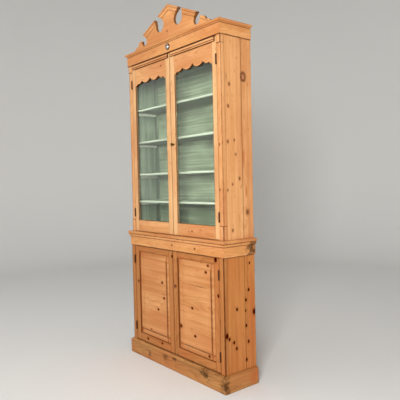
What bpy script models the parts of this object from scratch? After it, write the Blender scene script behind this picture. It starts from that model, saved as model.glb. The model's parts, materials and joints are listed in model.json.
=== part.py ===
"""Two-stage pine bookcase: panelled cupboard base, glazed upper case, boxed cornice and fretted pediment.

X runs along the front, Y from front to back and Z up from the floor. All sizes are in metres.
The origin lies on the floor, at the middle of the bookcase's outer box.
"""
import math

import bmesh
import bpy
from mathutils import Matrix, Vector

# Carcass
CASE_WIDTH = 1.054
CASE_DEPTH = 0.256
BASE_HEIGHT = 0.938
UPPER_HEIGHT = 1.249
BASE_STEP = 0.009
BASE_SIDE_STEP = 0.003
POST_WIDTH = 0.0385
POST_DEPTH = 0.030
SIDE_THICKNESS = 0.018
BACK_THICKNESS = 0.012
FLOOR_THICKNESS = 0.0195
TOP_THICKNESS = 0.020
POST_CAP = 0.047
POST_FOOT = 0.087
POST_SINK = 0.004
ARRIS = 0.0015

# Plinth, waist and cornice
PLINTH_HEIGHT = 0.108
PLINTH_THICKNESS = 0.018
PLINTH_CHAMFER = 0.010
WAIST_HEIGHT = 0.086
WAIST_PROJECTION = 0.003
WAIST_SIDE_STEP = 0.0075
WAIST_BOARD = 0.016
WAIST_OVOLO = 0.010
WAIST_FILLET = 0.010
LIP_THICKNESS = 0.019
LIP_PROJECTION = 0.016
LIP_ROUND = 0.008
CORNICE_HEIGHT = 0.089
CORNICE_PROJECTION = 0.006
CORNICE_BOARD = 0.022
CROWN_HEIGHT = 0.021
CROWN_PROJECTION = 0.015
CROWN_FILLET = 0.005
BOSS_RADIUS = 0.0225
BOSS_RISE = 0.019
BOSS_EDGE = 0.003
BOSS_HEIGHT = 0.0375

# Pediment, measured from the middle and from the cornice top
PEDIMENT_RISE = 0.237
PEDIMENT_SETBACK = 0.005
PEDIMENT_SLOPE = math.radians(23.5)
PEDIMENT_THICKNESS = 0.018
INNER_EYE = (0.105, 0.1185)
INNER_EYE_RADIUS = 0.046
INNER_EYE_ARC = (120, 370)
INNER_MOUTH = (0.122, 0.160)
OUTER_EYE = (0.303, 0.053)
OUTER_EYE_RADIUS = 0.032
OUTER_EYE_ARC = (120, 375)
OUTER_MOUTH = 0.313
SCROLL_START = (0.344, 0.0655)
SCROLL_STEP = (0.392, 0.036)
SCROLL_END = 0.447
SCROLL_BULGE = 0.010
SCROLL_DROP = 0.0033
RAKE_WIDTH = 0.036
RAKE_CAP = 0.011
RAKE_STEP = 0.0145
RAKE_FLAT = 0.025
RAKE_RELIEF = 0.009
RAKE_FLAT_RELIEF = 0.0054
RAKE_FOOT_RELIEF = 0.0014
RAKE_SETBACK = 0.0008

# Shelves on notched ladders
SHELF_THICKNESS = 0.015
SHELF_SETBACK = 0.040
LADDER_WIDTH = 0.022
LADDER_THICKNESS = 0.012
LADDER_PITCH = 0.0127
LADDER_NOTCH = 0.005
CLEAT_HEIGHT = 0.018
CLEAT_BITE = 0.0025
SHELF_NOTCHES = (14, 30, 49, 68)

# Doors; a scallop's point is a share of the way from the rail's middle to its end, and a height
DOOR_THICKNESS = 0.022
UPPER_DOOR_SETBACK = 0.006
BASE_DOOR_SETBACK = 0.003
DOOR_HEAD_GAP = 0.003
HINGE_GAP = 0.0027
MEETING_GAP = 0.0024
TENON_LENGTH = 0.028
TENON_SHOULDER = 0.012
GLAZED_HINGE_STILE = 0.042
GLAZED_MEETING_STILE = 0.050
GLAZED_BOTTOM_RAIL = 0.083
GLAZED_TOP_RAIL = 0.159
REBATE_DEPTH = 0.012
REBATE_WIDTH = 0.008
GLAZED_TENON = (0.004, 0.0110)
GLASS_THICKNESS = 0.003
GLASS_CLEARANCE = 0.001
SCALLOP_POINT = 0.042
INNER_LOBE = ((0.051, 0.028), (0.510, 0.027))
INNER_LOBE_SAG = 0.015
SCALLOP_CUSP = (0.546, 0.033)
MIDDLE_LOBE = ((0.582, 0.027), (0.821, 0.0153))
MIDDLE_LOBE_SAG = 0.006
SCALLOP_STEP = (0.844, 0.018)
OUTER_LOBE_START = (0.870, 0.0135)
OUTER_LOBE_SAG = 0.003
HEAD_ABOVE_POINT = 0.022
CAPPING_HEIGHT = 0.030
CAPPING_SMALL_BEAD = 0.0108
CAPPING_BIG_BEAD = 0.0168
CAPPING_QUIRK = 0.0018
CAPPING_RELIEF = 0.005
CAPPING_SWELL = 0.004
CAPPING_SEAT = 0.0036
CAPPING_INSET = 0.014
ASTRAGAL_WIDTH = 0.016
ASTRAGAL_RELIEF = 0.004
PANEL_STILE = 0.050
PANEL_TOP_RAIL = 0.043
PANEL_BOTTOM_RAIL = 0.057
GROOVE = (0.0085, 0.0155)
GROOVE_DEPTH = 0.010
PANEL_TONGUE = 0.008
FIELD_MARGIN = 0.042
FIELD_SINK = 0.0045
FIELD_STEP = 0.0025

# Ironmongery
HINGE_LENGTH = 0.064
HINGE_BARREL = 0.004
HINGE_LEAF = 0.0016
HINGE_LEAF_DEPTH = 0.018
UPPER_HINGE_INSET = 0.140
BASE_HINGE_INSET = 0.104
UPPER_KNOB_RADIUS = 0.010
UPPER_KNOB_REACH = 0.027
UPPER_KNOB_NECK = 0.005
UPPER_KNOB_HEAD = 0.010
UPPER_KNOB_HEIGHT = 0.622
BASE_KNOB_RADIUS = 0.0135
BASE_KNOB_REACH = 0.021
BASE_KNOB_NECK = 0.0065
BASE_KNOB_HEAD = 0.007
BASE_KNOB_HEIGHT = 0.483
KNOB_ROSE_FLARE = 0.0025
KNOB_ROSE_THICKNESS = 0.002
KNOB_UNDERCUT = -50

# Clearances and facet counts
GAP = 0.0003
OVERLAP = 0.002
ROUND_STEPS = 20
ARC_STEPS = 5
BARREL_STEPS = 12
LIP_STEPS = 3

# Levels and planes that follow from the sizes above
UPPER_HALF = CASE_WIDTH / 2
BASE_HALF = UPPER_HALF + BASE_SIDE_STEP
WAIST_HALF = BASE_HALF + WAIST_SIDE_STEP
FRONT = (BASE_STEP + WAIST_PROJECTION + LIP_PROJECTION - CASE_DEPTH) / 2
BACK = FRONT + CASE_DEPTH
BASE_FRONT = FRONT - BASE_STEP
BACK_FACE = BACK - BACK_THICKNESS
WAIST_TOP = BASE_HEIGHT - LIP_THICKNESS - GAP
WAIST_FOOT = WAIST_TOP - WAIST_HEIGHT
BASE_TOP = WAIST_FOOT - GAP
UPPER_FOOT = BASE_HEIGHT + GAP
UPPER_TOP = UPPER_FOOT + UPPER_HEIGHT
CORNICE_FOOT = UPPER_TOP + GAP
CORNICE_TOP = CORNICE_FOOT + CORNICE_HEIGHT
UPPER_INSIDE = UPPER_HALF - SIDE_THICKNESS
BASE_INSIDE = BASE_HALF - SIDE_THICKNESS
OPENING_HALF = UPPER_HALF - POST_WIDTH
DOOR_EDGE = OPENING_HALF - HINGE_GAP
DOOR_WIDTH = DOOR_EDGE - MEETING_GAP / 2
HINGE_X = OPENING_HALF - GAP - HINGE_LEAF - GAP / 2
HINGE_REACH = HINGE_BARREL + GAP * 2
LADDER_FOOT = UPPER_FOOT + FLOOR_THICKNESS + GAP
LADDER_TOP = UPPER_TOP - TOP_THICKNESS - GAP

PINE = ("stripped_pine", "#C98A4B", 0.55, 0.0)
WARM_PINE = ("warm_stripped_pine", "#B97640", 0.55, 0.0)
PALE_PINE = ("pale_stripped_pine", "#D8A05C", 0.55, 0.0)
PAINT = ("sage_green_paint", "#8C9B80", 0.6, 0.0)
SHELF_PAINT = ("pale_green_paint", "#C3CBB4", 0.6, 0.0)
GLASS = ("window_glass", "#DDE8E0", 0.05, 0.0)
IRON = ("black_iron", "#2B2523", 0.5, 0.9)
BRASS = ("aged_brass", "#B08D4F", 0.3, 1.0)
PEWTER = ("polished_pewter", "#BDB8AC", 0.22, 1.0)
DARK_WOOD = ("dark_turned_wood", "#3A2218", 0.4, 0.0)


def clear_scene():
    for old in list(bpy.data.objects):
        bpy.data.objects.remove(old)


def linear_colour(hex_colour):
    channels = [int(hex_colour[i:i + 2], 16) / 255 for i in (1, 3, 5)]
    return [c / 12.92 if c <= 0.04045 else ((c + 0.055) / 1.055) ** 2.4 for c in channels] + [1.0]


def material(kind):
    name, hex_colour, roughness, metallic = kind
    found = bpy.data.materials.get(name)
    if found:
        return found
    made = bpy.data.materials.new(name)
    made.use_nodes = True
    shader = made.node_tree.nodes["Principled BSDF"]
    shader.inputs["Base Color"].default_value = linear_colour(hex_colour)
    shader.inputs["Roughness"].default_value = roughness
    shader.inputs["Metallic"].default_value = metallic
    return made


def link_mesh(name, bm):
    bmesh.ops.recalc_face_normals(bm, faces=bm.faces[:])
    mesh = bpy.data.meshes.new(name)
    bm.to_mesh(mesh)
    bm.free()
    made = bpy.data.objects.new(name, mesh)
    bpy.context.scene.collection.objects.link(made)
    return made


def loft(name, rings):
    """Skin closed rings of equal point count and cap both ends."""
    bm = bmesh.new()
    loops = [[bm.verts.new(point) for point in ring] for ring in rings]
    for first, second in zip(loops, loops[1:]):
        for i in range(len(first)):
            j = (i + 1) % len(first)
            bm.faces.new((first[i], first[j], second[j], second[i]))
    bm.faces.new(loops[0][::-1])
    bm.faces.new(loops[-1])
    return link_mesh(name, bm)


def prism(name, outline, axis, start, end):
    """Extrude an outline: along X it holds (y, z) points, along Y (x, z) and along Z (x, y)."""
    order = {"X": lambda u, v, w: (w, u, v), "Y": lambda u, v, w: (u, w, v), "Z": lambda u, v, w: (u, v, w)}
    return loft(name, [[order[axis](u, v, w) for u, v in outline] for w in (start, end)])


def box(name, x_span, y_span, z_span):
    x0, x1 = sorted(x_span)
    return prism(name, [(x0, y_span[0]), (x1, y_span[0]), (x1, y_span[1]), (x0, y_span[1])], "Z", *z_span)


def turn(name, profile, centre):
    """Turn (radius, reach) points about an axis that points forward from the centre."""
    bm = bmesh.new()
    points = [bm.verts.new((radius, -reach, 0)) for radius, reach in profile]
    edges = [bm.edges.new(pair) for pair in zip(points, points[1:])]
    bmesh.ops.spin(bm, geom=points + edges, axis=(0, 1, 0), angle=math.tau, steps=ROUND_STEPS)
    bmesh.ops.remove_doubles(bm, verts=bm.verts[:], dist=1e-6)
    bmesh.ops.translate(bm, verts=bm.verts[:], vec=centre)
    made = link_mesh(name, bm)
    made.data.shade_smooth()
    return made


def arc(centre, radius, start, end, steps):
    """Points along a circle between two angles in degrees."""
    angles = [math.radians(start + (end - start) * i / steps) for i in range(steps + 1)]
    return [(centre[0] + radius * math.cos(a), centre[1] + radius * math.sin(a)) for a in angles]


def bow(start, end, bulge, steps=ARC_STEPS):
    """Points of a shallow curve from start to end that swells to the left of its direction."""
    along = Vector(end) - Vector(start)
    left = Vector((-along.y, along.x)).normalized()
    points = []
    for i in range(steps + 1):
        t = i / steps
        points.append(tuple(Vector(start) + along * t + left * (4 * bulge * t * (1 - t))))
    return points


def carve(body, tool, operation):
    """Cut a tool from a body, join it on or keep what they share, with the tool left as a hidden guide."""
    modifier = body.modifiers.new(operation.title(), "BOOLEAN")
    modifier.operation = operation
    modifier.solver = "EXACT"
    modifier.object = tool
    tool.hide_render = True
    tool.display_type = "WIRE"


def ease(body, width=ARRIS):
    """Soften the sharp edges of a board."""
    bevel = body.modifiers.new("Arris", "BEVEL")
    bevel.width = width
    bevel.segments = 1
    bevel.limit_method = "ANGLE"


def finish(body, kind, pivot=None):
    """Give a piece its material and hang it on the empty at its joint axis, if it has one."""
    body.data.materials.append(material(kind))
    corners = [Vector(corner) for corner in body.bound_box]
    middle = sum(corners, Vector()) / len(corners)
    body.data.transform(Matrix.Translation(-middle))
    body.location = middle
    if pivot:
        body.parent = pivot
        body.location = middle - pivot.location
    return body


def pivot_at(name, x, y, z):
    empty = bpy.data.objects.new(name, None)
    empty.location = (x, y, z)
    empty.empty_display_size = 0.1
    bpy.context.scene.collection.objects.link(empty)
    return empty


def mitred_front(name, profile, face, foot, half):
    """A moulding across the front: profile points are (projection, height), mitred at both ends."""
    play = GAP / math.sqrt(2)
    rings = []
    for side in (-1, 1):
        rings.append([(side * (half + p - play), face - p, foot + h) for p, h in profile])
    return loft(name, rings)


def mitred_side(name, profile, side, face, foot, half):
    """The return of the same moulding along one side, mitred in front and square at the back."""
    play = GAP / math.sqrt(2)
    front_ring = [(side * (half + p), face - p + play, foot + h) for p, h in profile]
    back_ring = [(side * (half + p), BACK, foot + h) for p, h in profile]
    return loft(name, [front_ring, back_ring])


def moulding_set(name, profile, face, foot, half, kind):
    finish(mitred_front(name + "_front", profile, face, foot, half), kind)
    for word, side in (("left", -1), ("right", 1)):
        finish(mitred_side(name + "_" + word, profile, side, face, foot, half), kind)


def plinth_profile():
    top = (GAP + PLINTH_THICKNESS - PLINTH_CHAMFER, PLINTH_HEIGHT)
    shoulder = (GAP + PLINTH_THICKNESS, PLINTH_HEIGHT - PLINTH_CHAMFER)
    return [(GAP, 0), (shoulder[0], 0), shoulder, top, (GAP, PLINTH_HEIGHT)]


def waist_profile():
    """A flat frieze with a quarter-round and fillet under the lip."""
    spring = WAIST_HEIGHT - WAIST_OVOLO - WAIST_FILLET
    ovolo = arc((WAIST_PROJECTION, spring + WAIST_OVOLO), WAIST_OVOLO, -90, 0, ARC_STEPS)
    return [(-WAIST_BOARD, 0), (WAIST_PROJECTION, 0)] + ovolo + [
        (WAIST_PROJECTION + WAIST_OVOLO, WAIST_HEIGHT), (-WAIST_BOARD, WAIST_HEIGHT)]


def cornice_profile():
    """A flat frieze with a crown: a hollow below, a round above and a square fillet on top."""
    foot = CORNICE_HEIGHT - CROWN_HEIGHT
    rise = (CROWN_HEIGHT - CROWN_FILLET) / 2
    run = CROWN_PROJECTION / 2
    curve = []
    for i in range(ARC_STEPS + 1):
        a = math.pi / 2 * i / ARC_STEPS
        curve.append((CORNICE_PROJECTION + run * (1 - math.cos(a)), foot + rise * math.sin(a)))
    for i in range(1, ARC_STEPS + 1):
        a = math.pi / 2 * i / ARC_STEPS
        curve.append((CORNICE_PROJECTION + run * (1 + math.sin(a)), foot + rise * (2 - math.cos(a))))
    return [(-CORNICE_BOARD, 0), (CORNICE_PROJECTION, 0)] + curve + [
        (CORNICE_PROJECTION + CROWN_PROJECTION, CORNICE_HEIGHT), (-CORNICE_BOARD, CORNICE_HEIGHT)]


def build_base():
    moulding_set("plinth", plinth_profile(), BASE_FRONT, 0, BASE_HALF, WARM_PINE)
    moulding_set("waist_frieze", waist_profile(), BASE_FRONT, WAIST_FOOT, WAIST_HALF, PINE)
    post_back = BASE_FRONT + POST_DEPTH
    for word, side in (("left", -1), ("right", 1)):
        post_x = (side * OPENING_HALF, side * BASE_HALF)
        post = box("base_post_" + word, post_x, (BASE_FRONT, post_back), (0, BASE_TOP))
        ease(post)
        finish(post, WARM_PINE)
        board_x = (side * BASE_INSIDE, side * BASE_HALF)
        board = box("base_side_" + word, board_x, (post_back + GAP, BACK), (0, BASE_TOP))
        finish(board, WARM_PINE)
    inside = (GAP - BASE_INSIDE, BASE_INSIDE - GAP)
    floor_z = (PLINTH_HEIGHT - FLOOR_THICKNESS, PLINTH_HEIGHT)
    finish(box("base_bottom", inside, (post_back + GAP, BACK_FACE - GAP), floor_z), WARM_PINE)
    finish(box("base_back", inside, (BACK_FACE, BACK), (0, WAIST_TOP)), WARM_PINE)
    reach = WAIST_PROJECTION + LIP_PROJECTION
    lip = box("base_top", (-WAIST_HALF - reach, WAIST_HALF + reach), (BASE_FRONT - reach, BACK),
              (BASE_HEIGHT - LIP_THICKNESS, BASE_HEIGHT))
    round_lip(lip)
    finish(lip, PINE)


def round_lip(board):
    """Round the front and the two side edges of the top board, and leave its back edge square."""
    bm = bmesh.new()
    bm.from_mesh(board.data)
    back = max(v.co.y for v in bm.verts)
    edges = []
    for edge in bm.edges:
        flat = abs(edge.verts[0].co.z - edge.verts[1].co.z) < GAP
        at_back = all(abs(v.co.y - back) < GAP for v in edge.verts)
        if flat and not at_back:
            edges.append(edge)
    bmesh.ops.bevel(bm, geom=edges, offset=LIP_ROUND, segments=LIP_STEPS, profile=0.5, affect="EDGES")
    bm.to_mesh(board.data)
    bm.free()


def ladder_outline(inner, outer, foot, top):
    """A shelf ladder strip seen from the side, with saw teeth along its inner edge."""
    deep = inner + math.copysign(LADDER_NOTCH, outer - inner)
    outline = [(outer, foot), (outer, top), (inner, top)]
    for k in range(int((top - foot) / LADDER_PITCH), 0, -1):
        level = foot + k * LADDER_PITCH
        outline.append((inner, min(level + LADDER_NOTCH, top - GAP)))
        outline.append((deep, level))
        outline.append((inner, level))
    outline.append((inner, foot))
    return outline


def cleat_foot(notch):
    return LADDER_FOOT + notch * LADDER_PITCH


def shelf_foot(notch):
    return cleat_foot(notch) + CLEAT_HEIGHT + GAP


def upper_post(word, side):
    """A corner post whose face is sunk between a cap block and a foot block."""
    cap = UPPER_TOP - POST_CAP
    knee = UPPER_FOOT + POST_FOOT
    sunk = FRONT + POST_SINK
    back = FRONT + POST_DEPTH
    outline = [(FRONT, UPPER_FOOT), (back, UPPER_FOOT), (back, UPPER_TOP), (FRONT, UPPER_TOP), (FRONT, cap),
               (sunk, cap - POST_SINK), (sunk, knee + POST_SINK), (FRONT, knee)]
    finish(prism("upper_post_" + word, outline, "X", side * OPENING_HALF, side * UPPER_HALF), PINE)


def upper_side(word, side, ladder_front, ladder_back):
    """A side board with its two shelf ladders and the cleats that carry the shelves."""
    board = box("upper_side_" + word, (side * UPPER_INSIDE, side * UPPER_HALF),
                (FRONT + POST_DEPTH + GAP, BACK), (UPPER_FOOT, UPPER_TOP))
    ladder_x = (side * (UPPER_INSIDE + OVERLAP), side * (UPPER_INSIDE - LADDER_THICKNESS))
    strips = ((ladder_front + LADDER_WIDTH, ladder_front), (ladder_back - LADDER_WIDTH, ladder_back))
    for place, (inner, outer) in zip(("front", "back"), strips):
        outline = ladder_outline(inner, outer, LADDER_FOOT, LADDER_TOP)
        carve(board, prism(f"ladder_{place}_{word}", outline, "X", *ladder_x), "UNION")
    cleat_x = (ladder_x[0], side * (UPPER_INSIDE - LADDER_THICKNESS + GAP))
    cleat_y = (strips[0][0] - CLEAT_BITE, strips[1][0] + CLEAT_BITE)
    for notch in SHELF_NOTCHES:
        level = cleat_foot(notch)
        cleat = box(f"cleat_{notch}_{word}", cleat_x, cleat_y, (level, level + CLEAT_HEIGHT))
        carve(board, cleat, "UNION")
    finish(board, PINE)


def build_upper_case():
    ladder_front = FRONT + SHELF_SETBACK
    ladder_back = BACK_FACE - GAP
    for word, side in (("left", -1), ("right", 1)):
        upper_post(word, side)
        upper_side(word, side, ladder_front, ladder_back)
    inside = (GAP - UPPER_INSIDE, UPPER_INSIDE - GAP)
    depth = (FRONT + POST_DEPTH + GAP, BACK_FACE - GAP)
    finish(box("upper_bottom", inside, depth, (UPPER_FOOT, UPPER_FOOT + FLOOR_THICKNESS)), PAINT)
    finish(box("upper_top", inside, depth, (UPPER_TOP - TOP_THICKNESS, UPPER_TOP)), PAINT)
    finish(box("upper_back", inside, (BACK_FACE, BACK), (UPPER_FOOT, UPPER_TOP)), PAINT)
    for number, notch in enumerate(SHELF_NOTCHES, 1):
        build_shelf(f"shelf_{number}", shelf_foot(notch), ladder_front, ladder_back)


def build_shelf(name, foot, front, back):
    """A loose shelf, notched at its corners round the ladder strips."""
    wide = UPPER_INSIDE - GAP
    narrow = UPPER_INSIDE - LADDER_THICKNESS - GAP
    near = front + LADDER_WIDTH + GAP
    far = back - LADDER_WIDTH - GAP
    right = [(narrow, front), (narrow, near), (wide, near), (wide, far), (narrow, far), (narrow, back - GAP)]
    outline = right + [(-x, y) for x, y in right[::-1]]
    shelf = prism(name, outline, "Z", foot, foot + SHELF_THICKNESS)
    finish(shelf, SHELF_PAINT)


def slope_at(x, drop=0.0):
    return PEDIMENT_RISE - drop / math.cos(PEDIMENT_SLOPE) - abs(x) * math.tan(PEDIMENT_SLOPE)


def pediment_half(inset):
    """Right half of the fretted outline from the apex to the foot, drawn in by a small inset."""
    inner_tip, inner_corner = INNER_MOUTH
    points = [(0, slope_at(0, inset)), (inner_tip - inset, slope_at(inner_tip - inset, inset))]
    points += arc(INNER_EYE, INNER_EYE_RADIUS + inset, *INNER_EYE_ARC, 2 * ARC_STEPS)
    points += [(inner_corner + inset, slope_at(inner_corner + inset, inset)),
               (OUTER_MOUTH - inset, slope_at(OUTER_MOUTH - inset, inset))]
    points += arc(OUTER_EYE, OUTER_EYE_RADIUS + inset, *OUTER_EYE_ARC, 2 * ARC_STEPS)
    step = Vector(SCROLL_STEP)
    points += bow(SCROLL_START, step, SCROLL_BULGE)
    points += bow(step - Vector((0, SCROLL_DROP)), (SCROLL_END, 0), SCROLL_BULGE)
    return points


def pediment_outline(inset=0.0):
    right = pediment_half(inset)
    left = [(-x, z) for x, z in right[:0:-1]]
    return right + left


def build_pediment():
    """A fretted board with a raking moulding that stops at each eye's mouth."""
    face = FRONT + PEDIMENT_SETBACK
    foot = CORNICE_TOP + GAP
    outline = [(x, foot + z) for x, z in pediment_outline()]
    board = prism("pediment", outline, "Y", face, face + PEDIMENT_THICKNESS)
    section = [(0, -OVERLAP), (0, RAKE_RELIEF), (RAKE_CAP, RAKE_RELIEF), (RAKE_STEP, RAKE_FLAT_RELIEF),
               (RAKE_FLAT, RAKE_FLAT_RELIEF), (RAKE_WIDTH, RAKE_FOOT_RELIEF), (RAKE_WIDTH, -OVERLAP)]
    reach = OUTER_MOUTH + OVERLAP
    rings = []
    for x in (-reach, 0, reach):
        rings.append([(x, face - q, foot + slope_at(x, drop)) for drop, q in section])
    rake = loft("raking_moulding", rings)
    mask_outline = [(x, foot + z) for x, z in pediment_outline(RAKE_SETBACK)]
    mask = prism("fret_mask", mask_outline, "Y", face - 2 * RAKE_RELIEF, face + 2 * OVERLAP)
    carve(rake, mask, "INTERSECT")
    carve(board, rake, "UNION")
    finish(board, PINE)


def build_cornice():
    moulding_set("cornice", cornice_profile(), FRONT, CORNICE_FOOT, UPPER_HALF, PINE)
    face = FRONT - CORNICE_PROJECTION - GAP
    dome = arc((0, 0), 1, 0, 90, ARC_STEPS)
    profile = [(0, 0), (BOSS_RADIUS, 0)]
    profile += [(BOSS_RADIUS * u, BOSS_EDGE + (BOSS_RISE - BOSS_EDGE) * v) for u, v in dome[:-1]]
    profile.append((0, BOSS_RISE))
    finish(turn("frieze_boss", profile, (0, face, CORNICE_FOOT + BOSS_HEIGHT)), PEWTER)


def along_rail(point, half):
    share, height = point
    return share * half, height


def scallop_edge(half):
    """Lower edge of a glazed door's top rail from one stile to the other, as (offset, height) points."""
    right = [(0, SCALLOP_POINT)]
    lobes = ((INNER_LOBE, INNER_LOBE_SAG, SCALLOP_CUSP), (MIDDLE_LOBE, MIDDLE_LOBE_SAG, SCALLOP_STEP))
    for (start, end), sag, corner in lobes:
        right += bow(along_rail(start, half), along_rail(end, half), -sag)
        right.append(along_rail(corner, half))
    right += bow(along_rail(OUTER_LOBE_START, half), (half, 0), -OUTER_LOBE_SAG)
    return [(-x, z) for x, z in right[:0:-1]] + right


class DoorFrame:
    """Places door pieces by their distance from the hinge edge, on either side of the bookcase."""

    def __init__(self, word, stage):
        self.side = -1 if word == "left" else 1
        self.name = f"{stage}_door_{word}"
        if stage == "upper":
            self.face = FRONT + UPPER_DOOR_SETBACK
            self.axis_y = FRONT + POST_SINK - HINGE_REACH
            self.foot = UPPER_FOOT + DOOR_HEAD_GAP
            self.head = UPPER_TOP - DOOR_HEAD_GAP
            self.stiles = {"hinge": GLAZED_HINGE_STILE, "meeting": GLAZED_MEETING_STILE}
        else:
            self.face = BASE_FRONT + BASE_DOOR_SETBACK
            self.axis_y = BASE_FRONT - HINGE_REACH
            self.foot = PLINTH_HEIGHT + DOOR_HEAD_GAP
            self.head = BASE_TOP - DOOR_HEAD_GAP
            self.stiles = {"hinge": PANEL_STILE, "meeting": PANEL_STILE}
        self.inner = (self.stiles["hinge"], DOOR_WIDTH - self.stiles["meeting"])
        self.pivot = pivot_at(self.name + "_axis", self.side * HINGE_X, self.axis_y, self.foot)

    def x(self, distance):
        return self.side * (DOOR_EDGE - distance)

    def block(self, name, span, y_span, z_span):
        depths = [self.face + y for y in y_span]
        return box(name, (self.x(span[0]), self.x(span[1])), depths, z_span)

    def widened(self, amount):
        """The span between the stiles, widened at both ends."""
        return self.inner[0] - amount, self.inner[1] + amount

    def stile_piece(self, place, section):
        """An upright, with its section drawn as (distance from the outer edge, depth) points."""
        points = [(self.x(DOOR_WIDTH - d if place == "meeting" else d), self.face + y) for d, y in section]
        return prism(f"{self.name}_{place}_stile", points, "Z", self.foot, self.head)

    def mortise(self, stile, place, z_span, tenon):
        width = self.stiles[place]
        reach = (width - TENON_LENGTH - OVERLAP, width + OVERLAP)
        if place == "meeting":
            reach = tuple(DOOR_WIDTH - d for d in reach)
        hole = self.block(f"{stile.name}_mortise_{z_span[0]:.2f}", reach, (tenon[0] - GAP, tenon[1] + GAP),
                          (z_span[0] - GAP, z_span[1] + GAP))
        carve(stile, hole, "DIFFERENCE")

    def tenon(self, rail, z_span, tenon):
        carve(rail, self.block(rail.name + "_tenon", self.widened(TENON_LENGTH), tenon, z_span), "UNION")

    def add(self, piece, kind):
        finish(piece, kind, self.pivot)


def glazed_door(word):
    door = DoorFrame(word, "upper")
    ear_span = door.widened(REBATE_WIDTH - GAP)
    ear_depth = (REBATE_DEPTH + GAP, DOOR_THICKNESS - GAP)
    sill = door.foot + GLAZED_BOTTOM_RAIL
    lintel = door.head - GLAZED_TOP_RAIL
    glass_top = lintel + SCALLOP_POINT + HEAD_ABOVE_POINT
    low_tenon = (door.foot + TENON_SHOULDER, sill - TENON_SHOULDER)
    high_tenon = (glass_top + TENON_SHOULDER, door.head - CAPPING_HEIGHT)
    for place in ("hinge", "meeting"):
        width = door.stiles[place]
        section = [(0, 0), (width, 0), (width, REBATE_DEPTH), (width - REBATE_WIDTH, REBATE_DEPTH),
                   (width - REBATE_WIDTH, DOOR_THICKNESS), (0, DOOR_THICKNESS)]
        upright = door.stile_piece(place, section)
        door.mortise(upright, place, low_tenon, GLAZED_TENON)
        door.mortise(upright, place, high_tenon, GLAZED_TENON)
        if place == "meeting" and word == "left":
            add_astragal(door, upright)
        door.add(upright, PALE_PINE)

    rail_span = door.widened(-GAP)
    bottom = door.block(door.name + "_bottom_rail", rail_span, (0, DOOR_THICKNESS), (door.foot, sill))
    step = door.block(bottom.name + "_rebate", (0, DOOR_WIDTH), (REBATE_DEPTH, DOOR_THICKNESS + OVERLAP),
                      (sill - REBATE_WIDTH, sill + OVERLAP))
    carve(bottom, step, "DIFFERENCE")
    ear_z = (door.foot + GAP, sill - REBATE_WIDTH - GAP)
    ears = door.block(bottom.name + "_ears", ear_span, ear_depth, ear_z)
    carve(bottom, ears, "UNION")
    door.tenon(bottom, low_tenon, GLAZED_TENON)
    door.add(bottom, PALE_PINE)

    middle = sum(door.inner) / 2
    half = middle - door.inner[0] - GAP
    edge = [(door.x(middle + u), lintel + z) for u, z in scallop_edge(half)]
    outline = [(edge[0][0], door.head)] + edge + [(edge[-1][0], door.head)]
    top = prism(door.name + "_top_rail", outline, "Y", door.face, door.face + DOOR_THICKNESS)
    step = door.block(top.name + "_rebate", (0, DOOR_WIDTH), (REBATE_DEPTH, DOOR_THICKNESS + OVERLAP),
                      (lintel - OVERLAP, glass_top))
    carve(top, step, "DIFFERENCE")
    ears = door.block(top.name + "_ears", ear_span, ear_depth, (glass_top + GAP, door.head - GAP))
    carve(top, ears, "UNION")
    door.tenon(top, high_tenon, GLAZED_TENON)
    add_capping(door, top)
    door.add(top, PALE_PINE)

    pane = door.block(door.name + "_glass", door.widened(REBATE_WIDTH - GAP - GLASS_CLEARANCE),
                      (REBATE_DEPTH + GAP, REBATE_DEPTH + GAP + GLASS_THICKNESS),
                      (sill - REBATE_WIDTH + GAP, glass_top - GLASS_CLEARANCE))
    door.add(pane, GLASS)
    return door


def add_capping(door, rail):
    """A strip of two beads across the head of the door, standing in front of the stiles."""
    low = door.head - CAPPING_HEIGHT
    front = door.face - CAPPING_RELIEF
    outline = [(door.face - GAP, low), (front, low)]
    beads = ((low, CAPPING_SMALL_BEAD), (low + CAPPING_SMALL_BEAD + CAPPING_QUIRK, CAPPING_BIG_BEAD))
    for start, height in beads:
        for i in range(ARC_STEPS + 1):
            a = math.pi * i / ARC_STEPS
            outline.append((front - CAPPING_SWELL * math.sin(a), start + height * (1 - math.cos(a)) / 2))
    outline += [(front, door.head - GAP), (door.face - GAP, door.head - GAP)]
    ends = (door.x(CAPPING_INSET), door.x(DOOR_WIDTH - CAPPING_INSET))
    carve(rail, prism(rail.name + "_capping", outline, "X", *ends), "UNION")
    seat = door.block(rail.name + "_capping_seat", door.widened(-OVERLAP), (-CAPPING_SEAT, OVERLAP),
                      (low + OVERLAP, door.head - OVERLAP))
    carve(rail, seat, "UNION")


def add_astragal(door, stile):
    """A round bead down the meeting edge of the left-hand door, under the capping."""
    centre = DOOR_WIDTH - MEETING_GAP / 2 - ASTRAGAL_WIDTH / 2
    points = []
    for i in range(ARC_STEPS + 1):
        a = math.pi * i / ARC_STEPS
        across = centre + ASTRAGAL_WIDTH / 2 * math.cos(a)
        points.append((door.x(across), door.face - ASTRAGAL_RELIEF * math.sin(a)))
    points += [(points[-1][0], door.face + OVERLAP), (points[0][0], door.face + OVERLAP)]
    bead = prism(stile.name + "_astragal", points, "Z", door.foot + GAP, door.head - CAPPING_HEIGHT - GAP)
    carve(stile, bead, "UNION")


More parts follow.
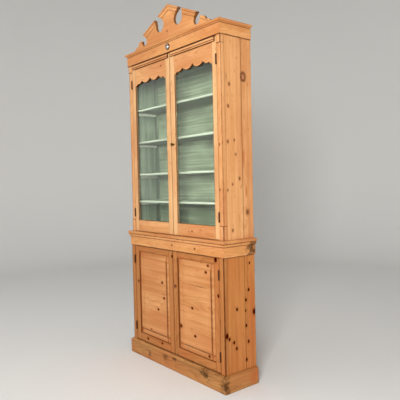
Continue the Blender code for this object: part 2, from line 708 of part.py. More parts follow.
def panelled_door(word):
    door = DoorFrame(word, "base")
    sill = door.foot + PANEL_BOTTOM_RAIL
    lintel = door.head - PANEL_TOP_RAIL
    tenon = (GROOVE[0] + 2 * GAP, GROOVE[1] - 2 * GAP)
    low_tenon = (door.foot + TENON_SHOULDER, sill - GROOVE_DEPTH - TENON_SHOULDER)
    high_tenon = (lintel + GROOVE_DEPTH + OVERLAP, door.head - TENON_SHOULDER)
    for place in ("hinge", "meeting"):
        width = door.stiles[place]
        section = [(0, 0), (width, 0), (width, GROOVE[0]), (width - GROOVE_DEPTH, GROOVE[0]),
                   (width - GROOVE_DEPTH, GROOVE[1]), (width, GROOVE[1]), (width, DOOR_THICKNESS),
                   (0, DOOR_THICKNESS)]
        upright = door.stile_piece(place, section)
        door.mortise(upright, place, low_tenon, tenon)
        door.mortise(upright, place, high_tenon, tenon)
        door.add(upright, WARM_PINE)

    for place, z_span, groove_edge, z_tenon in (("bottom", (door.foot, sill), sill, low_tenon),
                                                ("top", (lintel, door.head), lintel, high_tenon)):
        rail = door.block(f"{door.name}_{place}_rail", door.widened(-GAP), (0, DOOR_THICKNESS), z_span)
        groove = door.block(rail.name + "_groove", (0, DOOR_WIDTH), GROOVE,
                            (groove_edge - GROOVE_DEPTH, groove_edge + GROOVE_DEPTH))
        carve(rail, groove, "DIFFERENCE")
        door.tenon(rail, z_tenon, tenon)
        door.add(rail, WARM_PINE)
    door.add(fielded_panel(door, sill, lintel), WARM_PINE)
    return door


def fielded_panel(door, sill, lintel):
    """A panel with a raised field: from the back it runs to the tongue, up a bevel and over a small step."""
    tongue_back = GROOVE[1] - GAP
    tongue_face = GROOVE[0] + GAP
    rings = []
    for inset, depth in ((-PANEL_TONGUE, tongue_back), (-PANEL_TONGUE, tongue_face), (0, tongue_face),
                         (FIELD_MARGIN, FIELD_SINK + FIELD_STEP), (FIELD_MARGIN, FIELD_SINK)):
        left, right = (door.x(d) for d in door.widened(-inset))
        low, high = sill + inset, lintel - inset
        corners = ((left, low), (right, low), (right, high), (left, high))
        rings.append([(x, door.face + depth, z) for x, z in corners])
    return loft(door.name + "_panel", rings)


def build_hinges(door, inset):
    """Two butts on each door: a leaf lies against the post and carries the barrel in front of the joint."""
    axis_x = door.side * HINGE_X
    for place, middle in (("lower", door.foot + inset), ("upper", door.head - inset)):
        name = f"{door.name}_{place}_hinge"
        z_span = (middle - HINGE_LENGTH / 2, middle + HINGE_LENGTH / 2)
        circle = arc((axis_x, door.axis_y), HINGE_BARREL, 0, 360, BARREL_STEPS)[:-1]
        barrel = prism(name, circle, "Z", *z_span)
        leaf_x = (door.side * (OPENING_HALF - GAP - HINGE_LEAF), door.side * (OPENING_HALF - GAP))
        leaf_y = (door.axis_y, door.face + HINGE_LEAF_DEPTH)
        leaf = box(name + "_leaf", leaf_x, leaf_y, (z_span[0] + GAP, z_span[1] - GAP))
        carve(barrel, leaf, "UNION")
        finish(barrel, IRON)


def knob_profile(radius, reach, neck, head):
    """A turned knob: a small rose, a neck and a round head."""
    rose = neck + KNOB_ROSE_FLARE
    centre = reach - head
    points = [(0, GAP), (rose, GAP), (rose, GAP + KNOB_ROSE_THICKNESS)]
    points.append((neck, GAP + 2 * KNOB_ROSE_THICKNESS))
    for u, v in arc((0, 0), 1, KNOB_UNDERCUT, 90, ARC_STEPS + 2)[:-1]:
        points.append((radius * u, centre + head * v))
    points.append((0, reach))
    return points


def build_knobs(upper, base):
    """The pulls on the meeting stiles of both right-hand doors."""
    place = (upper.x(DOOR_WIDTH - GLAZED_MEETING_STILE / 2), upper.face, UPPER_FOOT + UPPER_KNOB_HEIGHT)
    profile = knob_profile(UPPER_KNOB_RADIUS, UPPER_KNOB_REACH, UPPER_KNOB_NECK, UPPER_KNOB_HEAD)
    upper.add(turn("upper_knob", profile, place), BRASS)
    place = (base.x(DOOR_WIDTH - PANEL_STILE / 2), base.face, PLINTH_HEIGHT + BASE_KNOB_HEIGHT)
    profile = knob_profile(BASE_KNOB_RADIUS, BASE_KNOB_REACH, BASE_KNOB_NECK, BASE_KNOB_HEAD)
    base.add(turn("base_knob", profile, place), DARK_WOOD)


def main():
    clear_scene()
    build_base()
    build_upper_case()
    build_cornice()
    build_pediment()
    doors = {}
    for word in ("left", "right"):
        doors["upper", word] = glazed_door(word)
        doors["base", word] = panelled_door(word)
        build_hinges(doors["upper", word], UPPER_HINGE_INSET)
        build_hinges(doors["base", word], BASE_HINGE_INSET)
    build_knobs(doors["upper", "right"], doors["base", "right"])


main()
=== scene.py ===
import json
import math

import bmesh
import bpy
from mathutils import Matrix, Vector


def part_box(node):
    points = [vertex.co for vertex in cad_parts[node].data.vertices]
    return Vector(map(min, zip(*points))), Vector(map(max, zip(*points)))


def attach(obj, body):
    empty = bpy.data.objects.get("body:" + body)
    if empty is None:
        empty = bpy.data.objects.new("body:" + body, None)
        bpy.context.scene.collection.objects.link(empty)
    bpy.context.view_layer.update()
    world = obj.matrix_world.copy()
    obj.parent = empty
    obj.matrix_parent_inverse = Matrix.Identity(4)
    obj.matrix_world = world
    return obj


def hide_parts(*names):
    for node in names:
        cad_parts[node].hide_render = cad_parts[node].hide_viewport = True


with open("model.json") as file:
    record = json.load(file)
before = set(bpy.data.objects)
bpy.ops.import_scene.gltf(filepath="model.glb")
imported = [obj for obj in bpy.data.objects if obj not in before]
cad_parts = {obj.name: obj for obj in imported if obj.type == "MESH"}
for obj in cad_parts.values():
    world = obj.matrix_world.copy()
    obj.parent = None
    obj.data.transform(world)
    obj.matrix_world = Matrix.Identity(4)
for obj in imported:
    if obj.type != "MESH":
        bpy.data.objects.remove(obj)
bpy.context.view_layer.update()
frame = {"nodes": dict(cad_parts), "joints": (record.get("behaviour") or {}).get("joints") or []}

bl_info = {
    "name": "Glazed Pine Bookcase",
    "version": (1, 0, 0),
    "blender": (4, 5, 0),
    "location": "3D View > Sidebar > Bookcase",
    "description": "Dresses a two-stage pine bookcase with waxed timber, paint, glass and ironmongery",
    "category": "Object",
}

MM = 0.001
X, Y, Z = 0, 1, 2

# Camera, fitted to the bookcase's straight edges
CAMERA_PLACE = (2.7592, -2.1003, 1.2974)
CAMERA_YAW = 50.50
CAMERA_PITCH = -2.04
CAMERA_ROLL = -1.25
CAMERA_LENS = 44.39
CAMERA_SHIFT = -0.01125

# Lamps, as a place and a size in metres
LAMPS = {
    "key": ((3.45, -3.7, 2.2), 1.1),
    "side": ((4.2, 0.9, 2.4), 2.4),
    "fill": ((-2.8, -2.8, 2.4), 3.0),
    "top": ((0.3, -1.0, 4.8), 3.2),
}
LAMP_AIM = Vector((0, 0, 1.2))

# Dead knots, as (sideways, height, radius) in metres, with a depth too where only one face of a post shows it
SMALL_KNOT = 5.5 * MM
KNOT = 7.5 * MM
LARGE_KNOT = 12.5 * MM
KNOTS = {
    "upper_side_right": (
        (-0.047, 1.894, KNOT), (-0.058, 1.761, KNOT), (-0.012, 1.555, SMALL_KNOT), (-0.066, 1.544, KNOT),
        (-0.002, 1.467, SMALL_KNOT), (0.027, 1.317, KNOT), (-0.033, 1.282, SMALL_KNOT),
        (-0.074, 1.247, SMALL_KNOT), (0.090, 1.105, LARGE_KNOT), (-0.039, 0.998, KNOT)),
    "base_side_right": (
        (0.096, 0.780, SMALL_KNOT), (0.084, 0.612, KNOT), (0.059, 0.550, KNOT), (-0.019, 0.503, KNOT),
        (0.055, 0.482, SMALL_KNOT), (0.131, 0.464, LARGE_KNOT), (0.058, 0.386, KNOT), (-0.087, 0.329, KNOT),
        (-0.049, 0.300, KNOT), (0.077, 0.281, KNOT), (-0.027, 0.259, KNOT), (0.057, 0.169, KNOT)),
    "base_post_right": ((0.530, 0.352, LARGE_KNOT, -0.106),),
    "upper_post_right": ((0.496, 1.250, SMALL_KNOT, -0.110), (0.500, 1.527, SMALL_KNOT, -0.110)),
    "base_door_left_meeting_stile": ((-0.010, 0.791, KNOT),),
    "base_door_left_hinge_stile": ((-0.451, 0.559, KNOT),),
    "base_door_left_panel": (
        (-0.145, 0.588, KNOT), (-0.125, 0.479, KNOT), (-0.201, 0.385, KNOT), (-0.297, 0.219, SMALL_KNOT),
        (-0.428, 0.188, KNOT)),
    "base_door_right_panel": (
        (0.366, 0.769, KNOT), (0.348, 0.725, KNOT), (0.199, 0.468, KNOT), (0.063, 0.322, LARGE_KNOT),
        (0.225, 0.286, KNOT), (0.364, 0.185, KNOT)),
    "base_door_right_hinge_stile": ((0.471, 0.594, KNOT), (0.452, 0.818, LARGE_KNOT)),
    "base_door_left_bottom_rail": ((-0.155, 0.148, KNOT), (-0.340, 0.140, KNOT)),
    "waist_frieze_front": ((-0.002, 0.870, SMALL_KNOT), (0.252, 0.867, SMALL_KNOT)),
    "upper_door_left_top_rail": ((-0.108, 2.120, SMALL_KNOT),),
    "upper_door_right_bottom_rail": ((0.206, 0.977, SMALL_KNOT),),
    "pediment": ((-0.020, 2.338, SMALL_KNOT),),
}
LIVE_KNOTS = {"upper_side_right": ((0.072, 1.951, 21 * MM),)}
KNOT_STRETCH = 0.75

# Boards that show few knots or none to the camera: theirs are strewn, about one to a square of this size
STREWN = ("upper_side_left", "upper_back", "upper_top", "base_side_left", "base_back", "base_bottom",
          "base_top", "waist_frieze_left", "plinth_left", "cornice_left")
STREWN_SPACING = 0.19

# Splits, streaks and stains, as (across, along, half width, half length) in metres
SPLITS = {
    "base_door_right_panel": ((0.622, 0.270, 0.005, 0.150),),
    "base_door_left_panel": ((0.505, -0.130, 0.005, 0.050),),
    "waist_frieze_front": ((0.852, -0.189, 0.016, 0.003),),
    "upper_side_right": ((-0.070, 1.930, 0.004, 0.060),),
}
STREAKS = {
    "upper_side_right": ((0.065, 1.442, 0.009, 0.060), (0.084, 1.235, 0.009, 0.040)),
    "plinth_right": ((0.055, 0.105, 0.060, 0.040),),
    "base_side_right": ((0.110, 0.450, 0.028, 0.300),),
}
STAINS = {
    "plinth_front": (
        (0.074, 0.345, 0.036, 0.056), (0.050, 0.540, 0.070, 0.046), (0.040, -0.289, 0.034, 0.022),
        (0.076, -0.082, 0.024, 0.034), (0.085, 0.014, 0.014, 0.030)),
    "plinth_right": ((0.050, -0.130, 0.060, 0.030),),
    "waist_frieze_right": ((0.870, 0.110, 0.075, 0.056),),
    "base_top": ((0.535, 0.105, 0.030, 0.060),),
}

# Joints between boards, which hold dirt, and edges of the raised fields, darkened with dirt and painted
# shade, as an axis and a place on it
JOINTS = {
    "upper_side_right": ((Y, 0.054),), "upper_side_left": ((Y, 0.048),),
    "base_side_right": ((Y, 0.052),), "base_side_left": ((Y, 0.061),),
    "base_back": ((Z, 0.235), (Z, 0.482), (Z, 0.701)),
    "upper_back": ((Z, 1.196), (Z, 1.483), (Z, 1.719), (Z, 1.928)),
    "upper_top": ((Y, 0.02),), "upper_bottom": ((Y, 0.03),),
}
FIELD_EDGES = {
    "base_door_right_panel": ((X, 0.398), (X, 0.053), (Z, 0.203)),
    "base_door_left_panel": ((X, -0.089), (X, -0.434), (Z, 0.203)),
}

# Hollows of the mouldings and lines under their projections, darkened with painted shade and dirt, as depths
# below a piece's top
SHADED_HOLLOWS = {
    "waist_frieze": (0 * MM, 20 * MM, 86 * MM),
    "cornice": (21 * MM, 89 * MM),
    "upper_door_left_top": (0 * MM, 18 * MM, 30 * MM),
    "upper_door_right_top": (0 * MM, 18 * MM, 30 * MM),
    "upper_post": (49 * MM, 1160 * MM),
}
RAKE_SLOPE = math.radians(23.5)
# Lines of painted shade and dirt under the steps of the pediment's sloping top, as depths below it
RAKE_SHADED_HOLLOWS = (0 * MM, 13 * MM, 36 * MM)

# Lines of dirt, and of painted shade with dirt, as (full as far as, gone at, strength, raggedness)
JOINT_DIRT = (1.5 * MM, 5.5 * MM, 0.6, 1 * MM)
FIELD_DIRT_AND_SHADE = (6 * MM, 14 * MM, 0.7, 9 * MM)
HOLLOW_DIRT_AND_SHADE = (2 * MM, 6 * MM, 0.75, 3 * MM)
RAKE_DIRT_AND_SHADE = (2 * MM, 6 * MM, 0.45, 3 * MM)

# Grain: the tree's middle lies behind the board and a little tilted, so its rings are cut in long arches
PITH_DEPTH = 75 * MM
PITH_TILT = math.radians(3)
PITH_SWAY = 50 * MM
RING_WANDER = 30 * MM
RING_WANDER_WIDTH = 60 * MM
RING_SHARPNESS = 2.5
KNOT_SWERVE = 2.5
KNOT_WOBBLE = 0.6
KNOT_WOBBLE_WIDTH = 9 * MM
GRAIN_STRETCH = 0.035
FIBRE_WIDTH = 3 * MM
CLOUD_WIDTH = 140 * MM
BLOT_WIDTH = 26 * MM
FLECK_WIDTH = 12 * MM
MARGIN_FADE = 70 * MM
WAX_INDEX = 1.44

# Timber by where it is used, as the colours of its soft early wood and of its growth lines
TONES = {
    "pale": ("#E8BB89", "#D0975C", "the glazed doors' stiles"),
    "amber": ("#E5AC76", "#C58347", "the glazed case and its doors' rails"),
    "honey": ("#E3A66D", "#C3803F", "the pediment, cornice and waist"),
    "warm": ("#DDA168", "#AD6B34", "the base's panels and inner boards"),
    # These three tones are darker partly in the timber's own colour and partly as painted shade, for the
    # light falling off towards the bottom
    "russet": ("#CC8748", "#995622", "the base's sides"),
    "tawny": ("#BD7E45", "#8D5020", "the base's door frames and posts"),
    "worn": ("#C0894F", "#78471D", "the plinth"),
}

# Paint and glass
BRUSH_WIDTH = 16 * MM
SHELF_BRUSH_WIDTH = 10 * MM
PAINT_CLOUD_WIDTH = 180 * MM
CHIP_WIDTH = 4 * MM
PAINT_EDGE = 0.5 * MM
PAINT_ROUGHNESS = 0.62
GLASS_INDEX = 1.33
GLASS_WAVE_WIDTH = 70 * MM

# The shelf ladders and cleats on the inner walls of the glazed case
LADDER_WIDTH = 22 * MM
CLEAT_OUT = 0.507
CLEAT_HEIGHT = 18 * MM
WALL_CLEARANCE = 2.5 * MM

# Sides of a turned piece and of the round floor
TURN_STEPS = 32
FLOOR_STEPS = 96

# Profiles of the knobs and the boss, as shares of a radius and of the reach from the face outwards
KNOB_ROSE = ((1.0, 0.0), (1.0, 0.07), (0.94, 0.10), (0.78, 0.12), (0.80, 0.16))
KNOB_NECK = ((1.0, 0.19), (0.96, 0.28))
KNOB_FLARE = (0.08, 0.36)
KNOB_HEAD_MIDDLE = 0.66
KNOB_HEAD_RISE = 0.34
BOSS_RIM = ((1.0, 0.0), (1.0, 0.10), (0.97, 0.16), (0.90, 0.16), (0.86, 0.12))
BOSS_DOME = 0.84
BOSS_DOME_FOOT = 0.16

# Butt hinges and their screws
LEAF_PLAY = 0.15 * MM
LEAF_ARRIS = 0.15 * MM
KNUCKLE_EASE = 0.4 * MM
SCREW_PROFILE = ((1.0, -0.3 * MM), (1.0, 0.02 * MM), (0.8, 0.1 * MM))
SLOT_REACH = (0.4 * MM, 0.35 * MM)
SLOT_LENGTH = 1.2
SLOT_ARRIS = 0.05 * MM


def linear(hex_colour):
    """An sRGB hex colour as linear red, green, blue and alpha."""
    channels = [int(hex_colour[i:i + 2], 16) / 255 for i in (1, 3, 5)]
    return [c / 12.92 if c <= 0.04045 else ((c + 0.055) / 1.055) ** 2.4 for c in channels] + [1.0]


def colour_setting(name, hex_colour, description):
    return bpy.props.FloatVectorProperty(
        name=name, description=description, subtype="COLOR", size=4, min=0, max=1, default=linear(hex_colour))


def length_setting(name, length, description):
    return bpy.props.FloatProperty(
        name=name, description=description, default=length, min=0, unit="LENGTH", subtype="DISTANCE")


def power_setting(name, power, description):
    return bpy.props.FloatProperty(name=name, description=description, default=power, min=0, unit="POWER")


class BookcaseTimber(bpy.types.PropertyGroup):
    """Colours and grain of the stripped pine"""
    patina: colour_setting("Patina", "#B4622F", "Reddish wax that has darkened with age")
    knot_core: colour_setting("Knot core", "#420C00", "Dead middle of a knot")
    knot_ring: colour_setting("Knot ring", "#8A4416", "Resinous ring round a knot")
    knot_heart: colour_setting("Live knot", "#B87B55", "Middle of a knot that has grown into the board")
    # Old wax and dirt, which also paints shade into the hollows, along the edges and on the narrow faces
    grime: colour_setting("Grime", "#4E240B", "Old wax and dirt along edges and splits")
    stain: colour_setting("Stain", "#3A2413", "Damp marks and wear on the plinth")
    ring_spacing: length_setting("Ring spacing", 7 * MM, "Distance between growth lines")
    streak_width: length_setting("Streak width", 22 * MM, "Width of the light and dark streaks")
    # How far the dirt and painted shade reach in from a board's edge
    grime_width: length_setting("Grime width", 8 * MM, "How far the dirt reaches in from a board's edge")
    arris: length_setting("Worn arris", 1.2 * MM, "How far a board's sharp edges have worn round")


for tone, (early, late, where) in TONES.items():
    BookcaseTimber.__annotations__.update({
        tone + "_early": colour_setting(tone.title() + " earlywood", early, "Soft wood of " + where),
        tone + "_late": colour_setting(tone.title() + " latewood", late, "Growth lines of " + where),
    })


class BookcaseFinish(bpy.types.PropertyGroup):
    """Colours of the paint, glass and ironmongery"""
    sage: colour_setting("Sage paint", "#97A288", "Flat oil paint inside the glazed case")
    sage_worn: colour_setting("Worn sage paint", "#717C65", "Paint where it has thinned and dirtied")
    # Shaded copies of the sage paints, darker as painted shade, for the side walls of the glazed case and the
    # shelves' lower faces
    shaded_wall_sage: colour_setting("Wall paint", "#737E6B", "Duller paint on the side walls of the glazed case")
    shaded_wall_worn: colour_setting("Worn wall paint", "#505A48", "Wall paint where it has thinned and dirtied")
    paint_dirt: colour_setting("Paint dirt", "#40422C", "Dirt in the joints of the painted boards")
    shelf: colour_setting("Shelf paint", "#9CA487", "Flat oil paint on the shelves")
    # Pale rubbed paint for the shelves' front edges, where it is also a painted highlight, and for the cleats
    shelf_edge: colour_setting("Shelf edge", "#B7BCAA", "Rubbed pale paint on the shelves' front edges")
    putty: colour_setting("Putty", "#9CA18B", "Painted glazing putty")
    glass: colour_setting("Glass", "#F7FAF7", "Faint green of old window glass")
    iron: colour_setting("Iron", "#2A2421", "Blackened iron of the butt hinges")
    rust: colour_setting("Rust", "#5A3520", "Brown bloom on the iron")
    brass: colour_setting("Brass", "#8F6836", "Turned brass of the upper knob")
    tarnish: colour_setting("Tarnish", "#3A2411", "Brown skin in patches on the brass")
    pewter: colour_setting("Pewter", "#DEDBD5", "Polished boss on the frieze")
    # Tarnish in brown patches on the boss, which also paint in a dark reflection
    pewter_tarnish_and_dark_reflection: colour_setting("Dull pewter", "#6E6055", "Brown skin in patches on the boss")
    knob_wood: colour_setting("Knob wood", "#8E4A22", "Stained beech of the base knob")
    knob_wood_dark: colour_setting("Dark knob wood", "#471C0C", "Darker patches of the handled wood")


class BookcaseStudio(bpy.types.PropertyGroup):
    """Floor and light"""
    floor: colour_setting("Floor", "#ECEBE8", "Plain pale floor and backdrop")
    sky_colour: colour_setting("Sky colour", "#F4F6F8", "Colour of the even light from all round")
    sky: bpy.props.FloatProperty(
        name="Sky", description="Strength of the even light from all round", default=0.22, min=0)
    key: power_setting("Key light", 220, "Soft light from the right of the front")
    side: power_setting("Side light", 6, "Soft light on the right-hand side")
    fill: power_setting("Fill light", 15, "Broad light from the left of the front")
    top: power_setting("Top light", 41, "Broad light from above")


class Coat:
    """A finish in the making, on the piece's own coordinates and the directions that its faces look."""

    def __init__(self, name):
        self.material = bpy.data.materials.new(name)
        self.material.use_nodes = True
        self.tree = self.material.node_tree
        self.shader = self.tree.nodes["Principled BSDF"]
        self.place = self.add("TexCoord", out="Object")
        self.facing = self.add("TexCoord", out="Normal")

    def add(self, kind, inputs=(), out=0, **settings):
        """Add a node with its settings, fill its inputs in order or by name, and give back an output."""
        made = self.tree.nodes.new("ShaderNode" + kind)
        for name, value in settings.items():
            setattr(made, name, value)
        for name, value in (inputs if isinstance(inputs, dict) else dict(enumerate(inputs))).items():
            self.fill(made.inputs[name], value)
        return made.outputs[out]

    def fill(self, socket, value):
        """Link an input to a node's output, or give it a fixed value."""
        if isinstance(value, bpy.types.NodeSocket):
            self.tree.links.new(value, socket)
        else:
            socket.default_value = value

    def tint(self, colour, other, away, near, far, strength=1.0, uneven=()):
        """Lay another colour over a colour, in full as far as the near distance and gone at the far one.

        Some noise and its amount can make the distance uneven.
        """
        if uneven:
            away = self.add("Math", (*uneven, away), operation="MULTIPLY_ADD")
        cover = self.add("MapRange", (away, near, far, strength, 0.0), interpolation_type="SMOOTHSTEP")
        return self.add("Mix", {0: cover, 6: colour, 7: other}, out=2, data_type="RGBA")

    def cloud(self, size, seed, grain=None, stretch=GRAIN_STRETCH, detail=3.0):
        """Noise of a real size across the grain, drawn out along it."""
        scale = [1 / size] * 3
        if grain is not None:
            scale[grain] = stretch / size
        spread = self.add("VectorMath", (self.place, scale), operation="MULTIPLY")
        return self.add("TexNoise", {"Vector": spread, "W": seed, "Scale": 1.0, "Detail": detail},
                        noise_dimensions="4D")

    def from_plane(self, axis, position):
        """Distance from a plane across one axis."""
        along = self.add("SeparateXYZ", (self.place,), out=axis)
        along = self.add("Math", (along, position), operation="SUBTRACT")
        return self.add("Math", (along,), operation="ABSOLUTE")

    def finish(self, values, relief, strength, depth):
        """Give the shader its values and its fine relief, and hand over the material."""
        bump = self.add("Bump", {"Strength": strength, "Distance": depth, "Height": relief})
        for name, value in {**values, "Normal": bump}.items():
            self.fill(self.shader.inputs[name], value)
        return self.material


class Board:
    """A board's box, its grain direction, its thin direction and the direction across."""

    def __init__(self, node, grain=None):
        self.node = node
        self.low, self.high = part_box(node)
        self.middle = (self.low + self.high) / 2
        self.half = (self.high - self.low) / 2
        order = sorted((X, Y, Z), key=lambda axis: self.half[axis])
        self.thin = order[0]
        self.grain = order[2] if grain is None else grain
        self.across = 3 - self.thin - self.grain
        self.seed = sum(ord(letter) * (i + 1) for i, letter in enumerate(node)) % 97 * 0.37

    def vector(self, across=0.0, grain=0.0, thin=0.0):
        """A vector given along the board's own directions."""
        made = [0.0, 0.0, 0.0]
        made[self.across] = across
        made[self.grain] = grain
        made[self.thin] = thin
        return made

    def share(self, number):
        """A share from 0 to 1 that jumps about from number to number, and is the same every time."""
        return math.sin(number * 12.9898 + self.seed * 78.233) * 43758.5453 % 1

    def strewn_knots(self):
        """Knots for a board whose own knots aren't listed."""
        area = 4 * self.half[self.across] * self.half[self.grain]
        knots = []
        for i in range(round(area / STREWN_SPACING ** 2)):
            across = self.low[self.across] + 2 * self.half[self.across] * self.share(2 * i)
            along = self.low[self.grain] + 2 * self.half[self.grain] * self.share(2 * i + 1)
            knots.append((across, along, SMALL_KNOT if i % 3 else KNOT))
        return knots

    def knots(self, listed):
        """Knots as (across, along, radius), whichever way the board's grain runs."""
        if listed is KNOTS and self.node in STREWN:
            return self.strewn_knots()
        knots = listed.get(self.node, ())
        if self.grain == Z:
            return knots
        return [(knot[1], knot[0], *knot[2:]) for knot in knots]


def knot_reach(coat, board, knots):
    """Distance to the nearest knot, counted in that knot's radii, or None where the board has no knot."""
    through = coat.add("VectorMath", (coat.place, board.vector(1.0, KNOT_STRETCH)), operation="MULTIPLY")
    shallow = coat.add("VectorMath", (coat.place, board.vector(1.0, KNOT_STRETCH, 1.0)), operation="MULTIPLY")
    nearest = None
    for across, along, radius, *depth in knots:
        centre = board.vector(across, along * KNOT_STRETCH, depth[0] if depth else 0.0)
        away = coat.add("VectorMath", (shallow if depth else through, centre), out=1, operation="DISTANCE")
        away = coat.add("Math", (away, radius), operation="DIVIDE")
        nearest = away if nearest is None else coat.add("Math", (nearest, away), operation="MINIMUM")
    if nearest is None:
        return None
    nearest = coat.add("Math", (nearest, KNOT_WOBBLE / 2), operation="SUBTRACT")
    wobble = coat.cloud(KNOT_WOBBLE_WIDTH, board.seed, detail=1.0)
    return coat.add("Math", (wobble, KNOT_WOBBLE, nearest), operation="MULTIPLY_ADD")


def mark_reach(coat, board, mark):
    """Distance from the middle of a split, streak or stain, counted in its half sizes."""
    across, along, half_width, half_length = mark
    away = coat.add("VectorMath", (coat.place, board.vector(across, along)), operation="SUBTRACT")
    away = coat.add("VectorMath", (away, board.vector(1 / half_width, 1 / half_length)), operation="MULTIPLY")
    return coat.add("VectorMath", (away,), out=1, operation="LENGTH")


def edge_distance(coat, board):
    """Distance from the nearest edge of the face that is seen."""
    away = coat.add("VectorMath", (coat.place, board.middle), operation="SUBTRACT")
    away = coat.add("VectorMath", (away,), operation="ABSOLUTE")
    inside = coat.add("VectorMath", (board.half, away), operation="SUBTRACT")
    # A face has no edge in the direction it looks, so that direction is put far off
    look = coat.add("VectorMath", (coat.facing,), operation="ABSOLUTE")
    inside = coat.add("VectorMath", (inside, look), operation="ADD")
    nearest = coat.add("SeparateXYZ", (inside,), out=X)
    for axis in (Y, Z):
        along = coat.add("SeparateXYZ", (inside,), out=axis)
        nearest = coat.add("Math", (nearest, along), operation="MINIMUM")
    return nearest


def corner_distance(coat, board):
    """Distance from a post's outer front corner, which runs along its grain."""
    outer = max(board.low.x, board.high.x, key=abs)
    flat = coat.add("VectorMath", (coat.place, (1.0, 1.0, 0.0)), operation="MULTIPLY")
    return coat.add("VectorMath", (flat, (outer, board.low.y, 0.0)), out=1, operation="DISTANCE")


def rake_distance(coat, board, depth):
    """Distance from a line that runs at some depth below the pediment's sloping top."""
    slope = (-math.sin(RAKE_SLOPE), 0.0, -math.cos(RAKE_SLOPE))
    folded = coat.add("VectorMath", (coat.place,), operation="ABSOLUTE")
    below = coat.add("VectorMath", (folded, slope), out=1, operation="DOT_PRODUCT")
    below = coat.add("Math", (below, board.high.z * math.cos(RAKE_SLOPE) - depth), operation="ADD")
    return coat.add("Math", (below,), operation="ABSOLUTE")


def growth_rings(coat, board, spacing, knot):
    """The tree's rings where the board cuts them: 0 in soft early wood, rising to 1 in hard late wood."""
    sway = PITH_SWAY * math.sin(board.seed)
    pith = board.vector(board.middle[board.across] + sway, board.middle[board.grain],
                        board.middle[board.thin] + PITH_DEPTH)
    around = coat.add("VectorMath", (coat.place, pith), operation="SUBTRACT")
    around = coat.add("Mapping", {"Vector": around, "Rotation": board.vector(across=PITH_TILT)})
    around = coat.add("VectorMath", (around, board.vector(across=1.0, thin=1.0)), operation="MULTIPLY")
    radius = coat.add("VectorMath", (around,), out=1, operation="LENGTH")
    wander = coat.cloud(RING_WANDER_WIDTH, board.seed, board.grain, stretch=0.12, detail=2.0)
    radius = coat.add("Math", (wander, RING_WANDER, radius), operation="MULTIPLY_ADD")
    turns = coat.add("Math", (radius, spacing), operation="DIVIDE")
    if knot is not None:
        swerve = coat.add("MapRange", (knot, 0.5, 3.5, KNOT_SWERVE, 0.0), interpolation_type="SMOOTHSTEP")
        turns = coat.add("Math", (turns, swerve), operation="ADD")
    turns = coat.add("Math", (turns,), operation="FRACT")
    return coat.add("Math", (turns, RING_SHARPNESS), operation="POWER")


def draw_marks(coat, board, timber, colour, knot, knot_dark, blot):
    """Stains, streaks and splits, with the knots over them."""
    for marks, tone, near, far, patchy in (
            (STAINS, timber.stain, 1.5, 2.6, 2.8),
            (STREAKS, timber.patina, 0.6, 2.0, 1.0),
            (SPLITS, timber.grime, 0.6, 1.3, 1.0)):
        for mark in marks.get(board.node, ()):
            reach = mark_reach(coat, board, mark)
            colour = coat.tint(colour, tone, reach, near, far, 0.8, uneven=(blot, patchy))
    if knot is not None:
        colour = coat.tint(colour, timber.knot_ring, knot, near=0.9, far=2.3, strength=0.65 * knot_dark)
        colour = coat.tint(colour, timber.knot_core, knot, near=0.75, far=1.25, strength=knot_dark)
    live = knot_reach(coat, board, board.knots(LIVE_KNOTS))
    if live is not None:
        colour = coat.tint(colour, timber.grime, live, near=1.0, far=1.45, strength=0.75)
        colour = coat.tint(colour, timber.knot_heart, live, near=0.30, far=0.80, strength=0.85)
    return colour


def draw_dirt_and_shade(coat, board, timber, colour, blot):
    """Old wax and dirt in the joints between boards, and dirt with painted shade along the fields' edges,
    in the hollows of the mouldings and under their projections.
    """
    lines = [(coat.from_plane(*joint), JOINT_DIRT) for joint in JOINTS.get(board.node, ())]
    # Dirt and painted shade along the steps of the raised fields
    lines += [(coat.from_plane(*edge), FIELD_DIRT_AND_SHADE) for edge in FIELD_EDGES.get(board.node, ())]
    # Painted shade, with dirt, in the hollows of the mouldings and under their projections
    for start, depths in SHADED_HOLLOWS.items():
        if board.node.startswith(start):
            lines += [(coat.from_plane(Z, board.high.z - depth), HOLLOW_DIRT_AND_SHADE) for depth in depths]
    # Painted shade, with dirt, under the steps of the pediment's sloping top
    if board.node == "pediment":
        lines += [(rake_distance(coat, board, depth), RAKE_DIRT_AND_SHADE) for depth in RAKE_SHADED_HOLLOWS]
    for away, (near, far, strength, ragged) in lines:
        colour = coat.tint(colour, timber.grime, away, near, far, strength, uneven=(blot, ragged))
    return colour


